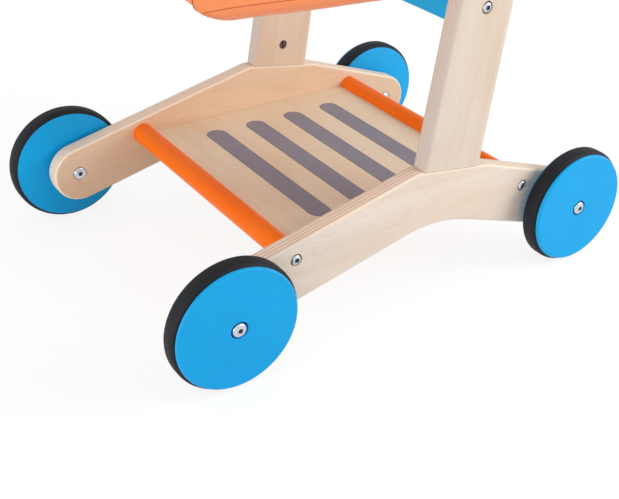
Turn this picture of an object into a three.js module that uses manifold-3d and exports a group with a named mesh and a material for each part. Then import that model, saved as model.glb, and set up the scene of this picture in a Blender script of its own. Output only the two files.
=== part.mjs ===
import * as THREE from "three";
import { mergeVertices } from "three/addons/utils/BufferGeometryUtils.js";
import Module from "manifold-3d";

// A toddler's wooden push cart: two cranked plywood side plates on four rubber-tyred wheels carry
// a low deck, and two leaning posts carry a cross board, a rim with a fabric basket, and a handle.
// +Z is up, +Y is the rear, where the child pushes, and +X is the child's left.
// The origin is on the ground in the middle of the four wheels. Lengths are in millimetres.

// Overall sizes
const wheelbase = 392;
const innerWidth = 278.5; // clear width between the side plates, and between the posts
const totalHeight = 500; // ground to the top of the posts
const degree = Math.PI / 180;

// Side plates and posts, cut from the same board
const boardThickness = 18;
const boardEdgeRound = 3;
const armWidth = 58;
const armEndRoundShare = 0.49; // of the arm's width: nearly a half circle
const frontArmRise = 13.5 * degree;
const rearArmRise = 18.8 * degree;
const axleAboveArm = 2; // the axle lies above the arm's middle line
const axleBeyondArm = 2; // and further out than the middle of the arm's round end
const archRadius = 130; // under the bend
const bendRadius = 14; // at both ends of the flat that the post stands on
const postWidth = 67; // at the foot
const postTopWidth = 58;
const postLean = 8.3 * degree;
const postTopRoundShare = 0.49; // of the post's width there
const postFootRound = 6; // of the blank, cut off at the foot
const postSeatMargin = 8.5; // of the flat on the side plate, at each side of the post
const postForwardOnSeat = 3.5; // the post stands a little ahead of the flat's middle

// Wheels
const discRadius = 56.8;
const wheelThickness = 22;
const discEdgeRound = 2.4; // of the outer face; the inner rim is too thin for one
const tyreProud = 3.2; // of the disc
const tyreDepth = 6; // rubber from the seat to the tread
const tyreWidth = 18.1;
const tyreEdgeRound = 5.5;
const tyreSetBack = 3; // the disc's outer rim in front of the tyre
const wheelClearance = 6; // between plate and wheel, mostly taken by the spacer

// Axle hardware: a sleeve nut from inside, a bolt from outside
const axleRadius = 5;
const axleHeadRadius = 7;
const axleHeadHeight = 3;
const axleBoltReach = 18;
const spacerRadius = 11;

// Bolts and barrel nuts
const boltRadius = 3;
const boltHeadRadius = 5.25;
const boltHeadHeight = 3;
const headRecess = 1.5; // counterbore that a head sits in
const headRecessGap = 0.7; // dark ring round the head
const keyWidth = 4; // hexagon key, across its flats
const keyDepth = 1.8;
const boltEndReach = 30; // into the end of a rod, board or handle
const boltTip = 6; // past the middle of a barrel nut
const barrelNutRadius = 5;
const barrelNutRecess = 1.5;
const barrelNutCover = 2.5; // wood left behind it
const barrelNutSlot = 1.4; // screwdriver slot in its face
const barrelNutAboveFoot = 24;
const footBoltPocket = 7; // depth of the counterbore in the arch
const dowelRadius = 4;
const dowelLength = 40;
const dowelSpacing = 42;

// Deck, its grip strips, and the rods at its ends
const deckAboveRods = 0.5; // its upper face over the rods' middle
const deckThickness = 6;
const deckGroove = 2.5; // how deep it sits in the side plates
const rodRadius = 10.5;
const rodAboveAxle = 28.7;
const frontRodFromAxle = 72;
const rearRodFromAxle = 56.5;
const rodSocket = 5; // how deep a rod or the handle sits in its side
const rodSlot = 4; // how deep the deck sits in the rods
const stripCount = 4;
const stripLength = 213;
const stripWidth = 21.6;
const stripPitch = 47.5;
const stripsBehindMiddle = 3.9; // of the deck
const stripThickness = 1.2;
const stripRecess = 1;

// Cross board between the posts
const crossBoardUp = 151; // its middle, measured up along the post from the foot
const crossBoardWidth = 46;
const crossBoardThickness = 18;
const crossBoardRound = 3;
const crossNutFromEnd = 30;

// Rim of four rails, with the fabric basket inside it
const rimBelowTop = 80; // middle of the rails
const railWidth = 36;
const railThickness = 12;
const railEdgeRound = 2;
const railEndRound = 12;
const railNose = 8; // side rail in front of the front rail
const railTail = 27; // side rail behind the post's middle line
const railBoltSpacing = 30;
const rearRailGap = 6.5; // from the rear rail to the posts
const basketLength = 236; // between the front and the rear rail
const tenonLength = 6;
const tenonHeight = 20;
const basketDepth = 134; // top of the rails to the bottom seam
const basketWall = 2;
const basketCornerRound = 12; // of the side panels' lower corners
const basketLeanIn = 2.5; // of the walls, from the rails down to the bottom seam
const basketDrawIn = 3; // how far the front and rear walls are pulled in at mid width
const basketSag = 26; // of the bottom, at its middle, below the seam

// Handle
const handleRadius = 12.5;

// Fits
const seatGap = 0.1; // between faces that rest on each other
const fitGap = 0.3; // between a piece and its hole, groove or socket
const runningGap = 0.3; // at each side of a wheel
const boreGap = 0.1; // wheel bore round its axle, a running fit
const overrun = 10; // how far a cutter passes what it cuts
const weldDistance = 0.001;

// Numbers of facets
const wheelSides = 36;
const rodSides = 24;
const boltSides = 12;
const arcSteps = 4;
const roundSteps = 2;
const hexagonSides = 6;

const birch = finish(0xe2c6a2, 0.5);
const bluePaint = finish(0x2a9fe0, 0.4);
const orangePaint = finish(0xf2691c, 0.38);
const gripGrey = finish(0x7c7a84, 0.75);
const rubber = finish(0x242226, 0.7);
const steel = finish(0xc8ccd2, 0.28, 1);
const nylon = finish(0x2c2c2e, 0.6);
const canvas = finish(0xf58f5c, 0.9);
const beech = finish(0xd9b68c, 0.6);

const wasm = await Module();
wasm.setup();

const half = 0.5;
const tyreRadius = discRadius + tyreProud;
const axleHeight = tyreRadius * Math.cos(Math.PI / wheelSides); // a facet of the tread lies flat
const axlePlace = { front: -wheelbase * half, rear: wheelbase * half };
const innerFace = innerWidth * half;
const outerFace = innerFace + boardThickness;
const rodHeight = axleHeight + rodAboveAxle;
const frontRodPlace = axlePlace.front + frontRodFromAxle;
const rearRodPlace = axlePlace.rear - rearRodFromAxle;
const deckHeight = rodHeight + deckAboveRods;
const spacerThickness = wheelClearance - runningGap;
const shankInBoard = boardThickness - headRecess; // of the bolts through plates and posts
const headSeat = innerFace + shankInBoard;
const barrelLength = boardThickness + wheelClearance + wheelThickness + runningGap - 2 * headRecess;
const frontArm = arm(axlePlace.front, frontArmRise, 1);
const rearArm = arm(axlePlace.rear, rearArmRise, -1);
const seat = postSeat();
const foot = seat.foot;
const postTopUp = (totalHeight - foot.y - postTopWidth * half) / Math.cos(postLean);
const postLength = postTopUp + postTopWidth * half;
const handleUp = postTopUp;
const rimHeight = totalHeight - rimBelowTop;
const rimTop = rimHeight + railWidth * half;
const postAtRim = foot.x + (rimHeight - foot.y) * Math.tan(postLean);
const rimBack = postFrontAt(rimHeight - railWidth * half) - rearRailGap - railThickness;
const rimFront = rimBack - basketLength;

function finish(color, roughness, metalness = 0) {
  return new THREE.MeshStandardMaterial({ color, roughness, metalness });
}

// One arm of the side plate: the direction of its edges, and where each meets the arm's end
function arm(axle, rise, towards) {
  const along = new THREE.Vector2(towards * Math.cos(rise), Math.sin(rise));
  const up = new THREE.Vector2(-towards * Math.sin(rise), Math.cos(rise));
  const halfArm = armWidth * half;
  const middle = new THREE.Vector2(axle, axleHeight).addScaledVector(up, -axleAboveArm);
  const end = middle.addScaledVector(along, axleBeyondArm - halfArm);
  const edge = (offset) => end.clone().addScaledVector(up, offset);
  return { along, top: edge(halfArm), bottom: edge(-halfArm) };
}

function crossing(from, along, other, otherAlong) {
  const gap = other.clone().sub(from);
  const travel = gap.cross(otherAlong) / along.cross(otherAlong);
  return from.clone().addScaledVector(along, travel);
}

// The flat for the post, square to it, cut where the arms' upper edges would meet in a peak
function postSeat() {
  const length = postWidth + 2 * postSeatMargin;
  const peak = crossing(frontArm.top, frontArm.along, rearArm.top, rearArm.along);
  const frontAngle = frontArmRise + postLean;
  const rearAngle = rearArmRise - postLean;
  const down = (length * Math.sin(rearAngle)) / Math.sin(frontAngle + rearAngle);
  const front = peak.addScaledVector(frontArm.along, -down);
  const along = new THREE.Vector2(Math.cos(postLean), -Math.sin(postLean));
  const rear = front.clone().addScaledVector(along, length);
  const foot = front.clone().addScaledVector(along, length * half - postForwardOnSeat);
  return { front, rear, foot };
}

// The post's front edge at a height, in the cart's YZ plane
function postFrontAt(height) {
  const up = (height - foot.y) / Math.cos(postLean);
  const halfWidth = (postWidth + (up / postLength) * (postTopWidth - postWidth)) * half;
  return foot.x + up * Math.sin(postLean) - halfWidth / Math.cos(postLean);
}

// Solids for cutting and joining, and back to geometry
function solidOf(geometry) {
  const bare = geometry.clone();
  bare.deleteAttribute("normal");
  bare.deleteAttribute("uv");
  const { attributes, index } = mergeVertices(bare, weldDistance);
  const mesh = { numProp: 3, vertProperties: attributes.position.array, triVerts: index.array };
  return new wasm.Manifold(new wasm.Mesh(mesh));
}

function geometryOf(solid) {
  const { vertProperties, triVerts } = solid.getMesh();
  const geometry = new THREE.BufferGeometry();
  geometry.setAttribute("position", new THREE.BufferAttribute(vertProperties, 3));
  geometry.setIndex(new THREE.BufferAttribute(triVerts, 1));
  return geometry.toNonIndexed();
}

function carve(geometry, cutters) {
  const left = cutters.reduce((solid, cutter) => solid.subtract(solidOf(cutter)), solidOf(geometry));
  return geometryOf(left);
}

// A box between two corners
function block(low, high) {
  const size = high.map((value, i) => value - low[i]);
  const middle = high.map((value, i) => (value + low[i]) * half);
  return new THREE.BoxGeometry(...size).translate(...middle);
}

// A turned piece on the X axis, from a closed profile of [place along the axis, radius]
function turned(profile, sides) {
  const points = profile.map(([place, radius]) => new THREE.Vector2(radius, place));
  return new THREE.LatheGeometry(points, sides, Math.PI / sides).rotateZ(-Math.PI / 2);
}

function pinAlongX(radius, from, to, sides) {
  const profile = [[from, 0], [from, radius], [to, radius], [to, 0]];
  return turned(profile, sides);
}

// A quarter round of a turned profile, about a middle, from one angle to another
function quarter(place, radius, round, from) {
  return Array.from({ length: roundSteps + 1 }, (_, step) => {
    const angle = from + (step / roundSteps) * Math.PI * half;
    return [place + round * Math.cos(angle), radius + round * Math.sin(angle)];
  });
}

// An outline whose corners are rounded, each by its own radius; corners run anticlockwise
function roundedShape(corners) {
  const shape = new THREE.Shape();
  corners.forEach(({ at, radius }, i) => {
    const back = corners.at(i - 1).at.clone().sub(at).normalize();
    const ahead = corners[(i + 1) % corners.length].at.clone().sub(at).normalize();
    const halfAngle = Math.acos(back.dot(ahead)) * half;
    const reach = radius / Math.tan(halfAngle);
    const start = at.clone().addScaledVector(back, reach);
    const end = at.clone().addScaledVector(ahead, reach);
    const toCentre = back.clone().add(ahead).normalize();
    const centre = at.clone().addScaledVector(toCentre, radius / Math.sin(halfAngle));
    const from = start.clone().sub(centre).angle();
    const to = end.clone().sub(centre).angle();
    if (i === 0) shape.moveTo(start.x, start.y);
    else shape.lineTo(start.x, start.y);
    shape.absarc(centre.x, centre.y, radius, from, to, back.cross(ahead) > 0);
  });
  return shape.closePath();
}

function corner(y, z, radius) {
  return { at: new THREE.Vector2(y, z), radius };
}

function rectangle(low, high, radius) {
  const places = [low, [high[0], low[1]], high, [low[0], high[1]]];
  return roundedShape(places.map(([y, z]) => corner(y, z, radius)));
}

// A board whose outline lies in the YZ plane and whose thickness runs from x = 0 towards +X
function boardFrom(shape, thickness, round) {
  const geometry = new THREE.ExtrudeGeometry(shape, {
    depth: thickness - 2 * round,
    bevelThickness: round,
    bevelSize: round,
    bevelOffset: -round,
    bevelSegments: roundSteps,
    curveSegments: arcSteps,
  });
  geometry.translate(0, 0, round);
  const yzPlane = new THREE.Matrix4().makeBasis(
    new THREE.Vector3(0, 1, 0),
    new THREE.Vector3(0, 0, 1),
    new THREE.Vector3(1, 0, 0),
  );
  return geometry.applyMatrix4(yzPlane);
}

// A place on the leaning post, across it and up along it, for a place in the cart's YZ plane
function onPost(y, z) {
  const behind = y - foot.x;
  const above = z - foot.y;
  const across = behind * Math.cos(postLean) - above * Math.sin(postLean);
  const up = behind * Math.sin(postLean) + above * Math.cos(postLean);
  return [across, up];
}

// Button-head bolt: the seat under its head is at x = 0, the head outside, the shank towards -X
function bolt(radius, length, headRadius, headHeight) {
  const domeSteps = 2;
  const rimShare = 0.3; // upright edge of the head, as a share of its height
  const dome = Array.from({ length: domeSteps + 1 }, (_, step) => {
    const angle = (step / domeSteps) * Math.PI * half;
    const rise = headHeight * (rimShare + (1 - rimShare) * Math.sin(angle));
    return [rise, headRadius * Math.cos(angle)];
  });
  const profile = [[-length, 0], [-length, radius], [0, radius], [0, headRadius], ...dome];
  const keyRadius = (keyWidth * half) / Math.cos(Math.PI / hexagonSides);
  const key = pinAlongX(keyRadius, headHeight - keyDepth, headHeight + overrun, hexagonSides);
  return carve(turned(profile, boltSides), [key]);
}

// Sleeve nut: a bolt-like head at the plate's inner face and a hollow barrel towards +X
function sleeveNut() {
  const solid = bolt(axleRadius, barrelLength, axleHeadRadius, axleHeadHeight);
  const bore = pinAlongX(
    boltRadius + fitGap,
    -barrelLength - overrun,
    -barrelLength + axleBoltReach + fitGap,
    boltSides,
  );
  return carve(solid, [bore]).rotateZ(Math.PI);
}

function barrelNutLength(board) {
  return board - barrelNutRecess - barrelNutCover;
}

// Barrel nut for a board's thickness, along X from its slotted face at x = 0 and threaded across
function barrelNut(board) {
  const body = pinAlongX(barrelNutRadius, 0, barrelNutLength(board), boltSides);
  const thread = pinAlongX(boltRadius + fitGap, -overrun, overrun, boltSides);
  thread.rotateY(Math.PI / 2).translate(board * half - barrelNutRecess, 0, 0);
  const reach = barrelNutRadius + overrun;
  const slotHalf = barrelNutSlot * half;
  const slot = block([-overrun, -slotHalf, -reach], [barrelNutSlot, slotHalf, reach]);
  return carve(body, [thread, slot]);
}

// Outline of the side plate, from the two arms, the flat under the post and the arch below
function sidePlateShape() {
  const endRound = armWidth * armEndRoundShare;
  const bend = crossing(frontArm.bottom, frontArm.along, rearArm.bottom, rearArm.along);
  return roundedShape([
    { at: frontArm.bottom, radius: endRound },
    { at: bend, radius: archRadius },
    { at: rearArm.bottom, radius: endRound },
    { at: rearArm.top, radius: endRound },
    { at: seat.rear, radius: bendRadius },
    { at: seat.front, radius: bendRadius },
    { at: frontArm.top, radius: endRound },
  ]);
}

// The foot bolt's seat: the middle of the arch below the post, less the counterbore
const footBoltSeat = footSeatBelow();
function footSeatBelow() {
  const points = sidePlateShape().getPoints(arcSteps);
  const below = points
    .map(({ x, y }) => onPost(x, y))
    .filter(([across, up]) => Math.abs(across) < postWidth * half && up < -armWidth * half)
    .map(([, up]) => up);
  return Math.max(...below) + footBoltPocket;
}
const footBoltLength = barrelNutAboveFoot + boltTip - footBoltSeat;

// A bolt's hole through a plate or post, and the counterbore for its head in the outer face
function boltCuts() {
  const past = boardThickness + overrun;
  return [
    pinAlongX(boltRadius + fitGap, -overrun, past, boltSides),
    pinAlongX(boltHeadRadius + headRecessGap, shankInBoard, past, boltSides),
  ];
}

function sidePlate() {
  const plate = boardFrom(sidePlateShape(), boardThickness, boardEdgeRound);
  const throughBoard = [-overrun, boardThickness + overrun];
  const cutters = [];
  for (const place of Object.values(axlePlace)) {
    const hole = pinAlongX(axleRadius + fitGap, ...throughBoard, rodSides);
    const recess = pinAlongX(axleHeadRadius + headRecessGap, -overrun, headRecess, boltSides);
    cutters.push(hole.translate(0, place, axleHeight), recess.translate(0, place, axleHeight));
  }
  for (const place of [frontRodPlace, rearRodPlace]) {
    const socket = pinAlongX(rodRadius + fitGap, -overrun, rodSocket, rodSides);
    const cuts = [...boltCuts(), socket];
    cutters.push(...cuts.map((cut) => cut.translate(0, place, rodHeight)));
  }
  const grooveLow = [-overrun, frontRodPlace, deckHeight - deckThickness - fitGap];
  const grooveHigh = [deckGroove, rearRodPlace, deckHeight + fitGap];
  cutters.push(block(grooveLow, grooveHigh));
  for (const cutter of plateCutsOnPostLine()) {
    cutter.rotateX(-postLean).translate(boardThickness * half, foot.x, foot.y);
    cutters.push(cutter);
  }
  return carve(plate, cutters);
}

// The foot bolt's hole and counterbore, and the dowel holes, as seen from the post's foot
function plateCutsOnPostLine() {
  const upright = (pin) => pin.rotateY(-Math.PI / 2);
  const pocketRadius = boltHeadRadius + fitGap;
  const cuts = [
    upright(pinAlongX(boltRadius + fitGap, -armWidth, overrun, boltSides)),
    upright(pinAlongX(pocketRadius, footBoltSeat - footBoltPocket - overrun, footBoltSeat, boltSides)),
  ];
  for (const across of [-dowelSpacing * half, dowelSpacing * half]) {
    const hole = pinAlongX(dowelRadius + fitGap, -dowelLength * half - fitGap, overrun, boltSides);
    cuts.push(upright(hole).translate(0, across, 0));
  }
  return cuts;
}

// Post, in its own frame: the foot at z = 0, the middle line on the Z axis
function post() {
  const low = (postWidth + (overrun / postLength) * (postWidth - postTopWidth)) * half;
  const top = postTopWidth * half;
  const topRound = postTopWidth * postTopRoundShare;
  const shape = roundedShape([
    corner(-low, -overrun, postFootRound),
    corner(low, -overrun, postFootRound),
    corner(top, postLength, topRound),
    corner(-top, postLength, topRound),
  ]);
  const upright = (pin) => pin.rotateY(-Math.PI / 2).translate(boardThickness * half, 0, 0);
  const through = (across, up) => boltCuts().map((cut) => cut.translate(0, across, up));
  const footHoleEnd = barrelNutAboveFoot + boltTip + fitGap;
  const nutDepth = barrelNutRecess + barrelNutLength(boardThickness) + fitGap;
  const nutHole = pinAlongX(barrelNutRadius + fitGap, -overrun, nutDepth, boltSides);
  const cutters = [
    block([-overrun, -postWidth, -postWidth], [boardThickness + overrun, postWidth, seatGap]),
    upright(pinAlongX(boltRadius + fitGap, -overrun, footHoleEnd, boltSides)),
    nutHole.translate(0, 0, barrelNutAboveFoot),
    pinAlongX(handleRadius + fitGap, -overrun, rodSocket, rodSides).translate(0, 0, handleUp),
    ...through(0, handleUp),
    ...through(0, crossBoardUp),
    ...railBoltPlaces().flatMap((place) => through(...onPost(...place))),
  ];
  for (const across of [-dowelSpacing * half, dowelSpacing * half]) {
    const hole = pinAlongX(dowelRadius + fitGap, -overrun, dowelLength * half + fitGap, boltSides);
    cutters.push(upright(hole).translate(0, across, 0));
  }
  return carve(boardFrom(shape, boardThickness, boardEdgeRound), cutters);
}

function railBoltPlaces() {
  return [-half, half].map((share) => [postAtRim + share * railBoltSpacing, rimHeight]);
}

// Wheel disc: its inner face at x = 0, a groove for the tyre round its rim
function wheelDisc() {
  const outer = discRadius - discEdgeRound;
  const grooveFloor = tyreRadius - tyreDepth - fitGap;
  const grooveFrom = wheelThickness - tyreSetBack - tyreWidth - fitGap;
  const grooveTo = wheelThickness - tyreSetBack + fitGap;
  const bore = axleRadius + boreGap;
  const recess = axleHeadRadius + headRecessGap;
  const profile = [
    [0, bore],
    [wheelThickness - headRecess, bore],
    [wheelThickness - headRecess, recess],
    [wheelThickness, recess],
    ...quarter(wheelThickness - discEdgeRound, outer, discEdgeRound, 0),
    [grooveTo, discRadius],
    [grooveTo, grooveFloor],
    [grooveFrom, grooveFloor],
    [grooveFrom, discRadius],
    [0, discRadius],
    [0, bore],
  ];
  return turned(profile.reverse(), wheelSides);
}

function tyre() {
  const seat = tyreRadius - tyreDepth;
  const from = wheelThickness - tyreSetBack - tyreWidth;
  const to = wheelThickness - tyreSetBack;
  const shoulder = tyreRadius - tyreEdgeRound;
  const profile = [
    [from, seat],
    [to, seat],
    ...quarter(to - tyreEdgeRound, shoulder, tyreEdgeRound, 0),
    ...quarter(from + tyreEdgeRound, shoulder, tyreEdgeRound, Math.PI * half),
    [from, seat],
  ];
  return turned(profile.reverse(), wheelSides);
}

function spacer() {
  const bore = axleRadius + fitGap;
  const far = spacerThickness;
  return turned([[0, bore], [0, spacerRadius], [far, spacerRadius], [far, bore], [0, bore]], boltSides);
}

// A rod or the handle, from side to side, with bored ends for its bolts
function crossRod(radius) {
  const end = innerFace + rodSocket - seatGap;
  const rod = pinAlongX(radius, -end, end, rodSides);
  const bores = [-1, 1].map((side) =>
    pinAlongX(boltRadius + fitGap, end - boltEndReach, end + overrun, boltSides).scale(side, side, 1),
  );
  return carve(rod, bores);
}

function slottedRod(deckSide) {
  const inner = rodRadius - rodSlot;
  const low = deckHeight - deckThickness - fitGap - rodHeight;
  const high = deckHeight + fitGap - rodHeight;
  const reach = innerFace + rodSocket + overrun;
  const near = Math.min(deckSide * inner, deckSide * (rodRadius + overrun));
  const far = Math.max(deckSide * inner, deckSide * (rodRadius + overrun));
  return carve(crossRod(rodRadius), [block([-reach, near, low], [reach, far, high])]);
}

function stripPlaces() {
  const middle = (frontRodPlace + rearRodPlace) * half + stripsBehindMiddle;
  return Array.from({ length: stripCount }, (_, i) => {
    return middle + (i - (stripCount - 1) * half) * stripPitch;
  });
}

// A grip strip, or with a gap its recess: a bar with half-round ends, lying flat
function stripSolid(gap, thickness) {
  const radius = stripWidth * half + gap;
  const straight = (stripLength - stripWidth) * half;
  const shape = new THREE.Shape();
  shape.absarc(straight, 0, radius, -Math.PI * half, Math.PI * half, false);
  shape.absarc(-straight, 0, radius, Math.PI * half, Math.PI * (1 + half), false);
  return new THREE.ExtrudeGeometry(shape.closePath(), {
    depth: thickness,
    bevelEnabled: false,
    curveSegments: arcSteps,
  });
}

function deck() {
  const side = innerFace + deckGroove - fitGap;
  const front = frontRodPlace + rodRadius - rodSlot + fitGap;
  const rear = rearRodPlace - rodRadius + rodSlot - fitGap;
  const panel = block([-side, front, deckHeight - deckThickness], [side, rear, deckHeight]);
  const recesses = stripPlaces().map((place) => {
    return stripSolid(fitGap, stripRecess + overrun).translate(0, place, deckHeight - stripRecess);
  });
  return carve(panel, recesses);
}

// Cross board, in the post's frame and centred on it
function crossBoard() {
  const end = innerFace - seatGap;
  const low = [-crossBoardThickness * half, -crossBoardWidth * half];
  const high = [crossBoardThickness * half, crossBoardWidth * half];
  const shape = rectangle(low, high, crossBoardRound);
  const board = boardFrom(shape, 2 * end, seatGap).translate(-end, 0, 0);
  const cutters = [];
  for (const side of [-1, 1]) {
    const reach = crossNutFromEnd + boltTip + fitGap;
    const hole = pinAlongX(boltRadius + fitGap, innerFace - reach, innerFace + overrun, boltSides);
    const nutDepth = barrelNutRecess + barrelNutLength(crossBoardThickness) + fitGap;
    const nutHole = pinAlongX(barrelNutRadius + fitGap, -overrun, nutDepth, boltSides);
    nutHole.rotateZ(-Math.PI / 2);
    nutHole.translate(side * (innerFace - crossNutFromEnd), crossBoardThickness * half, 0);
    cutters.push(hole.scale(side, side, 1), nutHole);
  }
  return carve(board, cutters);
}

// Side rail of the rim, its outer face at the post, with mortises for the cross rails
function sideRail() {
  const low = [rimFront - railThickness - railNose, rimHeight - railWidth * half];
  const high = [postAtRim + railTail, rimHeight + railWidth * half];
  const rail = boardFrom(rectangle(low, high, railEndRound), railThickness, railEdgeRound);
  const mortise = (front) => {
    const tall = tenonHeight * half + fitGap;
    const from = [-overrun, front - fitGap, rimHeight - tall];
    return block(from, [tenonLength + fitGap, front + railThickness + fitGap, rimHeight + tall]);
  };
  const holes = railBoltPlaces().map(([y, z]) => {
    const hole = pinAlongX(boltRadius + fitGap, seatGap, railThickness + overrun, boltSides);
    return hole.translate(0, y, z);
  });
  return carve(rail, [mortise(rimFront - railThickness), mortise(rimBack), ...holes]);
}

// Front or rear rail, its front face at y = 0, with a tenon at each end
function crossRail() {
  const shoulder = innerFace - railThickness - 2 * seatGap;
  const end = shoulder + tenonLength;
  const tall = railWidth * half;
  const tenon = tenonHeight * half;
  const outline = [
    [-shoulder, -tall], [shoulder, -tall], [shoulder, -tenon], [end, -tenon],
    [end, tenon], [shoulder, tenon], [shoulder, tall], [-shoulder, tall],
    [-shoulder, tenon], [-end, tenon], [-end, -tenon], [-shoulder, -tenon],
  ];
  const shape = new THREE.Shape(outline.map(([x, z]) => new THREE.Vector2(x, z)));
  const rail = new THREE.ExtrudeGeometry(shape, { depth: railThickness, bevelEnabled: false });
  return rail.rotateX(Math.PI * half).translate(0, railThickness, rimHeight);
}

// A closed solid through rings of points, each ring as long as the others
function loft(rings) {
  const around = rings[0].length;
  const last = (rings.length - 1) * around;
  const index = [];
  for (let i = 0; i < around; i++) {
    const next = (i + 1) % around;
    for (let start = 0; start < last; start += around) {
      const [a, b] = [start + i, start + next];
      index.push(a, b, a + around, b, b + around, a + around);
    }
    if (i > 1) index.push(0, i, i - 1, last, last + i - 1, last + i);
  }
  const geometry = new THREE.BufferGeometry();
  geometry.setAttribute("position", new THREE.Float32BufferAttribute(rings.flat(2), 3));
  geometry.setIndex(index);
  return geometry.toNonIndexed();
}

// Fabric basket: two side panels with rounded lower corners, and one strip sewn round them that
// makes the front, the sagging bottom and the rear
function basket() {
  const across = 8;
  const sagPower = 4;
  const alongPower = 3;
  const bottomShares = [0.12, 0.37, 0.63, 0.88];
  const wide = innerFace - railThickness - seatGap - fitGap;
  const railBottom = rimTop - railWidth;
  const seam = rimTop - basketDepth;
  const round = basketCornerRound;

  // The strip's outline at a share of the half width, moved inwards by the wall
  function outline(share, wall, top) {
    const drop = 1 - Math.abs(share) ** sagPower;
    const inward = wall + basketLeanIn + basketDrawIn * drop;
    const front = rimFront + fitGap;
    const rear = rimBack - fitGap;
    const arc = (from) =>
      Array.from({ length: arcSteps + 1 }, (_, step) => from + (step / arcSteps) * Math.PI * half);
    const low = seam + wall + round;
    const frontArc = arc(Math.PI).map((angle) => {
      return [front + inward + round * (1 + Math.cos(angle)), low + round * Math.sin(angle)];
    });
    const rearArc = arc(Math.PI * (1 + half)).map((angle) => {
      return [rear - inward - round * (1 - Math.cos(angle)), low + round * Math.sin(angle)];
    });
    const from = frontArc.at(-1)[0];
    const to = rearArc[0][0];
    const bottom = bottomShares.map((along) => {
      const deep = drop * (1 - Math.abs(2 * along - 1) ** alongPower);
      return [from + along * (to - from), seam + wall - basketSag * deep];
    });
    const points = [[front + wall, top], [front + wall, railBottom], ...frontArc, ...bottom];
    points.push(...rearArc, [rear - wall, railBottom], [rear - wall, top]);
    return points.map(([y, z]) => {
      const lean = Math.min(Math.max((railBottom - z) / (railBottom - seam), 0), 1);
      return [share * (wide - wall - basketLeanIn * lean), y, z];
    });
  }
  const solid = (wall, top) => {
    const shares = Array.from({ length: across + 1 }, (_, i) => Math.sin((i / across - half) * Math.PI));
    return loft(shares.map((share) => outline(share, wall, top)));
  };
  return carve(solid(0, rimTop), [solid(basketWall, rimTop + overrun)]);
}

const cart = new THREE.Group();

function place(group, name, geometry, material, x = 0, y = 0, z = 0) {
  const mesh = new THREE.Mesh(geometry, material);
  mesh.name = name;
  mesh.position.set(x, y, z);
  group.add(mesh);
  return mesh;
}

// Pieces that each side has, made once and mirrored
const plateGeometry = sidePlate();
const postGeometry = post();
const discGeometry = wheelDisc();
const tyreGeometry = tyre();
const spacerGeometry = spacer();
const sleeveGeometry = sleeveNut();
const axleBoltGeometry = bolt(boltRadius, axleBoltReach, axleHeadRadius, axleHeadHeight);
const rodBoltLength = shankInBoard - rodSocket + boltEndReach - fitGap;
const rodBoltGeometry = bolt(boltRadius, rodBoltLength, boltHeadRadius, boltHeadHeight);
const crossBoltLength = shankInBoard + crossNutFromEnd + boltTip;
const crossBoltGeometry = bolt(boltRadius, crossBoltLength, boltHeadRadius, boltHeadHeight);
const railBoltLength = shankInBoard + railThickness - 2 * seatGap;
const railBoltGeometry = bolt(boltRadius, railBoltLength, boltHeadRadius, boltHeadHeight);
const footBoltGeometry = bolt(boltRadius, footBoltLength, boltHeadRadius, boltHeadHeight);
const footNutGeometry = barrelNut(boardThickness);
const crossNutGeometry = barrelNut(crossBoardThickness);
const railGeometry = sideRail();
const dowelGeometry = pinAlongX(dowelRadius, -dowelLength * half, dowelLength * half, boltSides);

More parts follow.
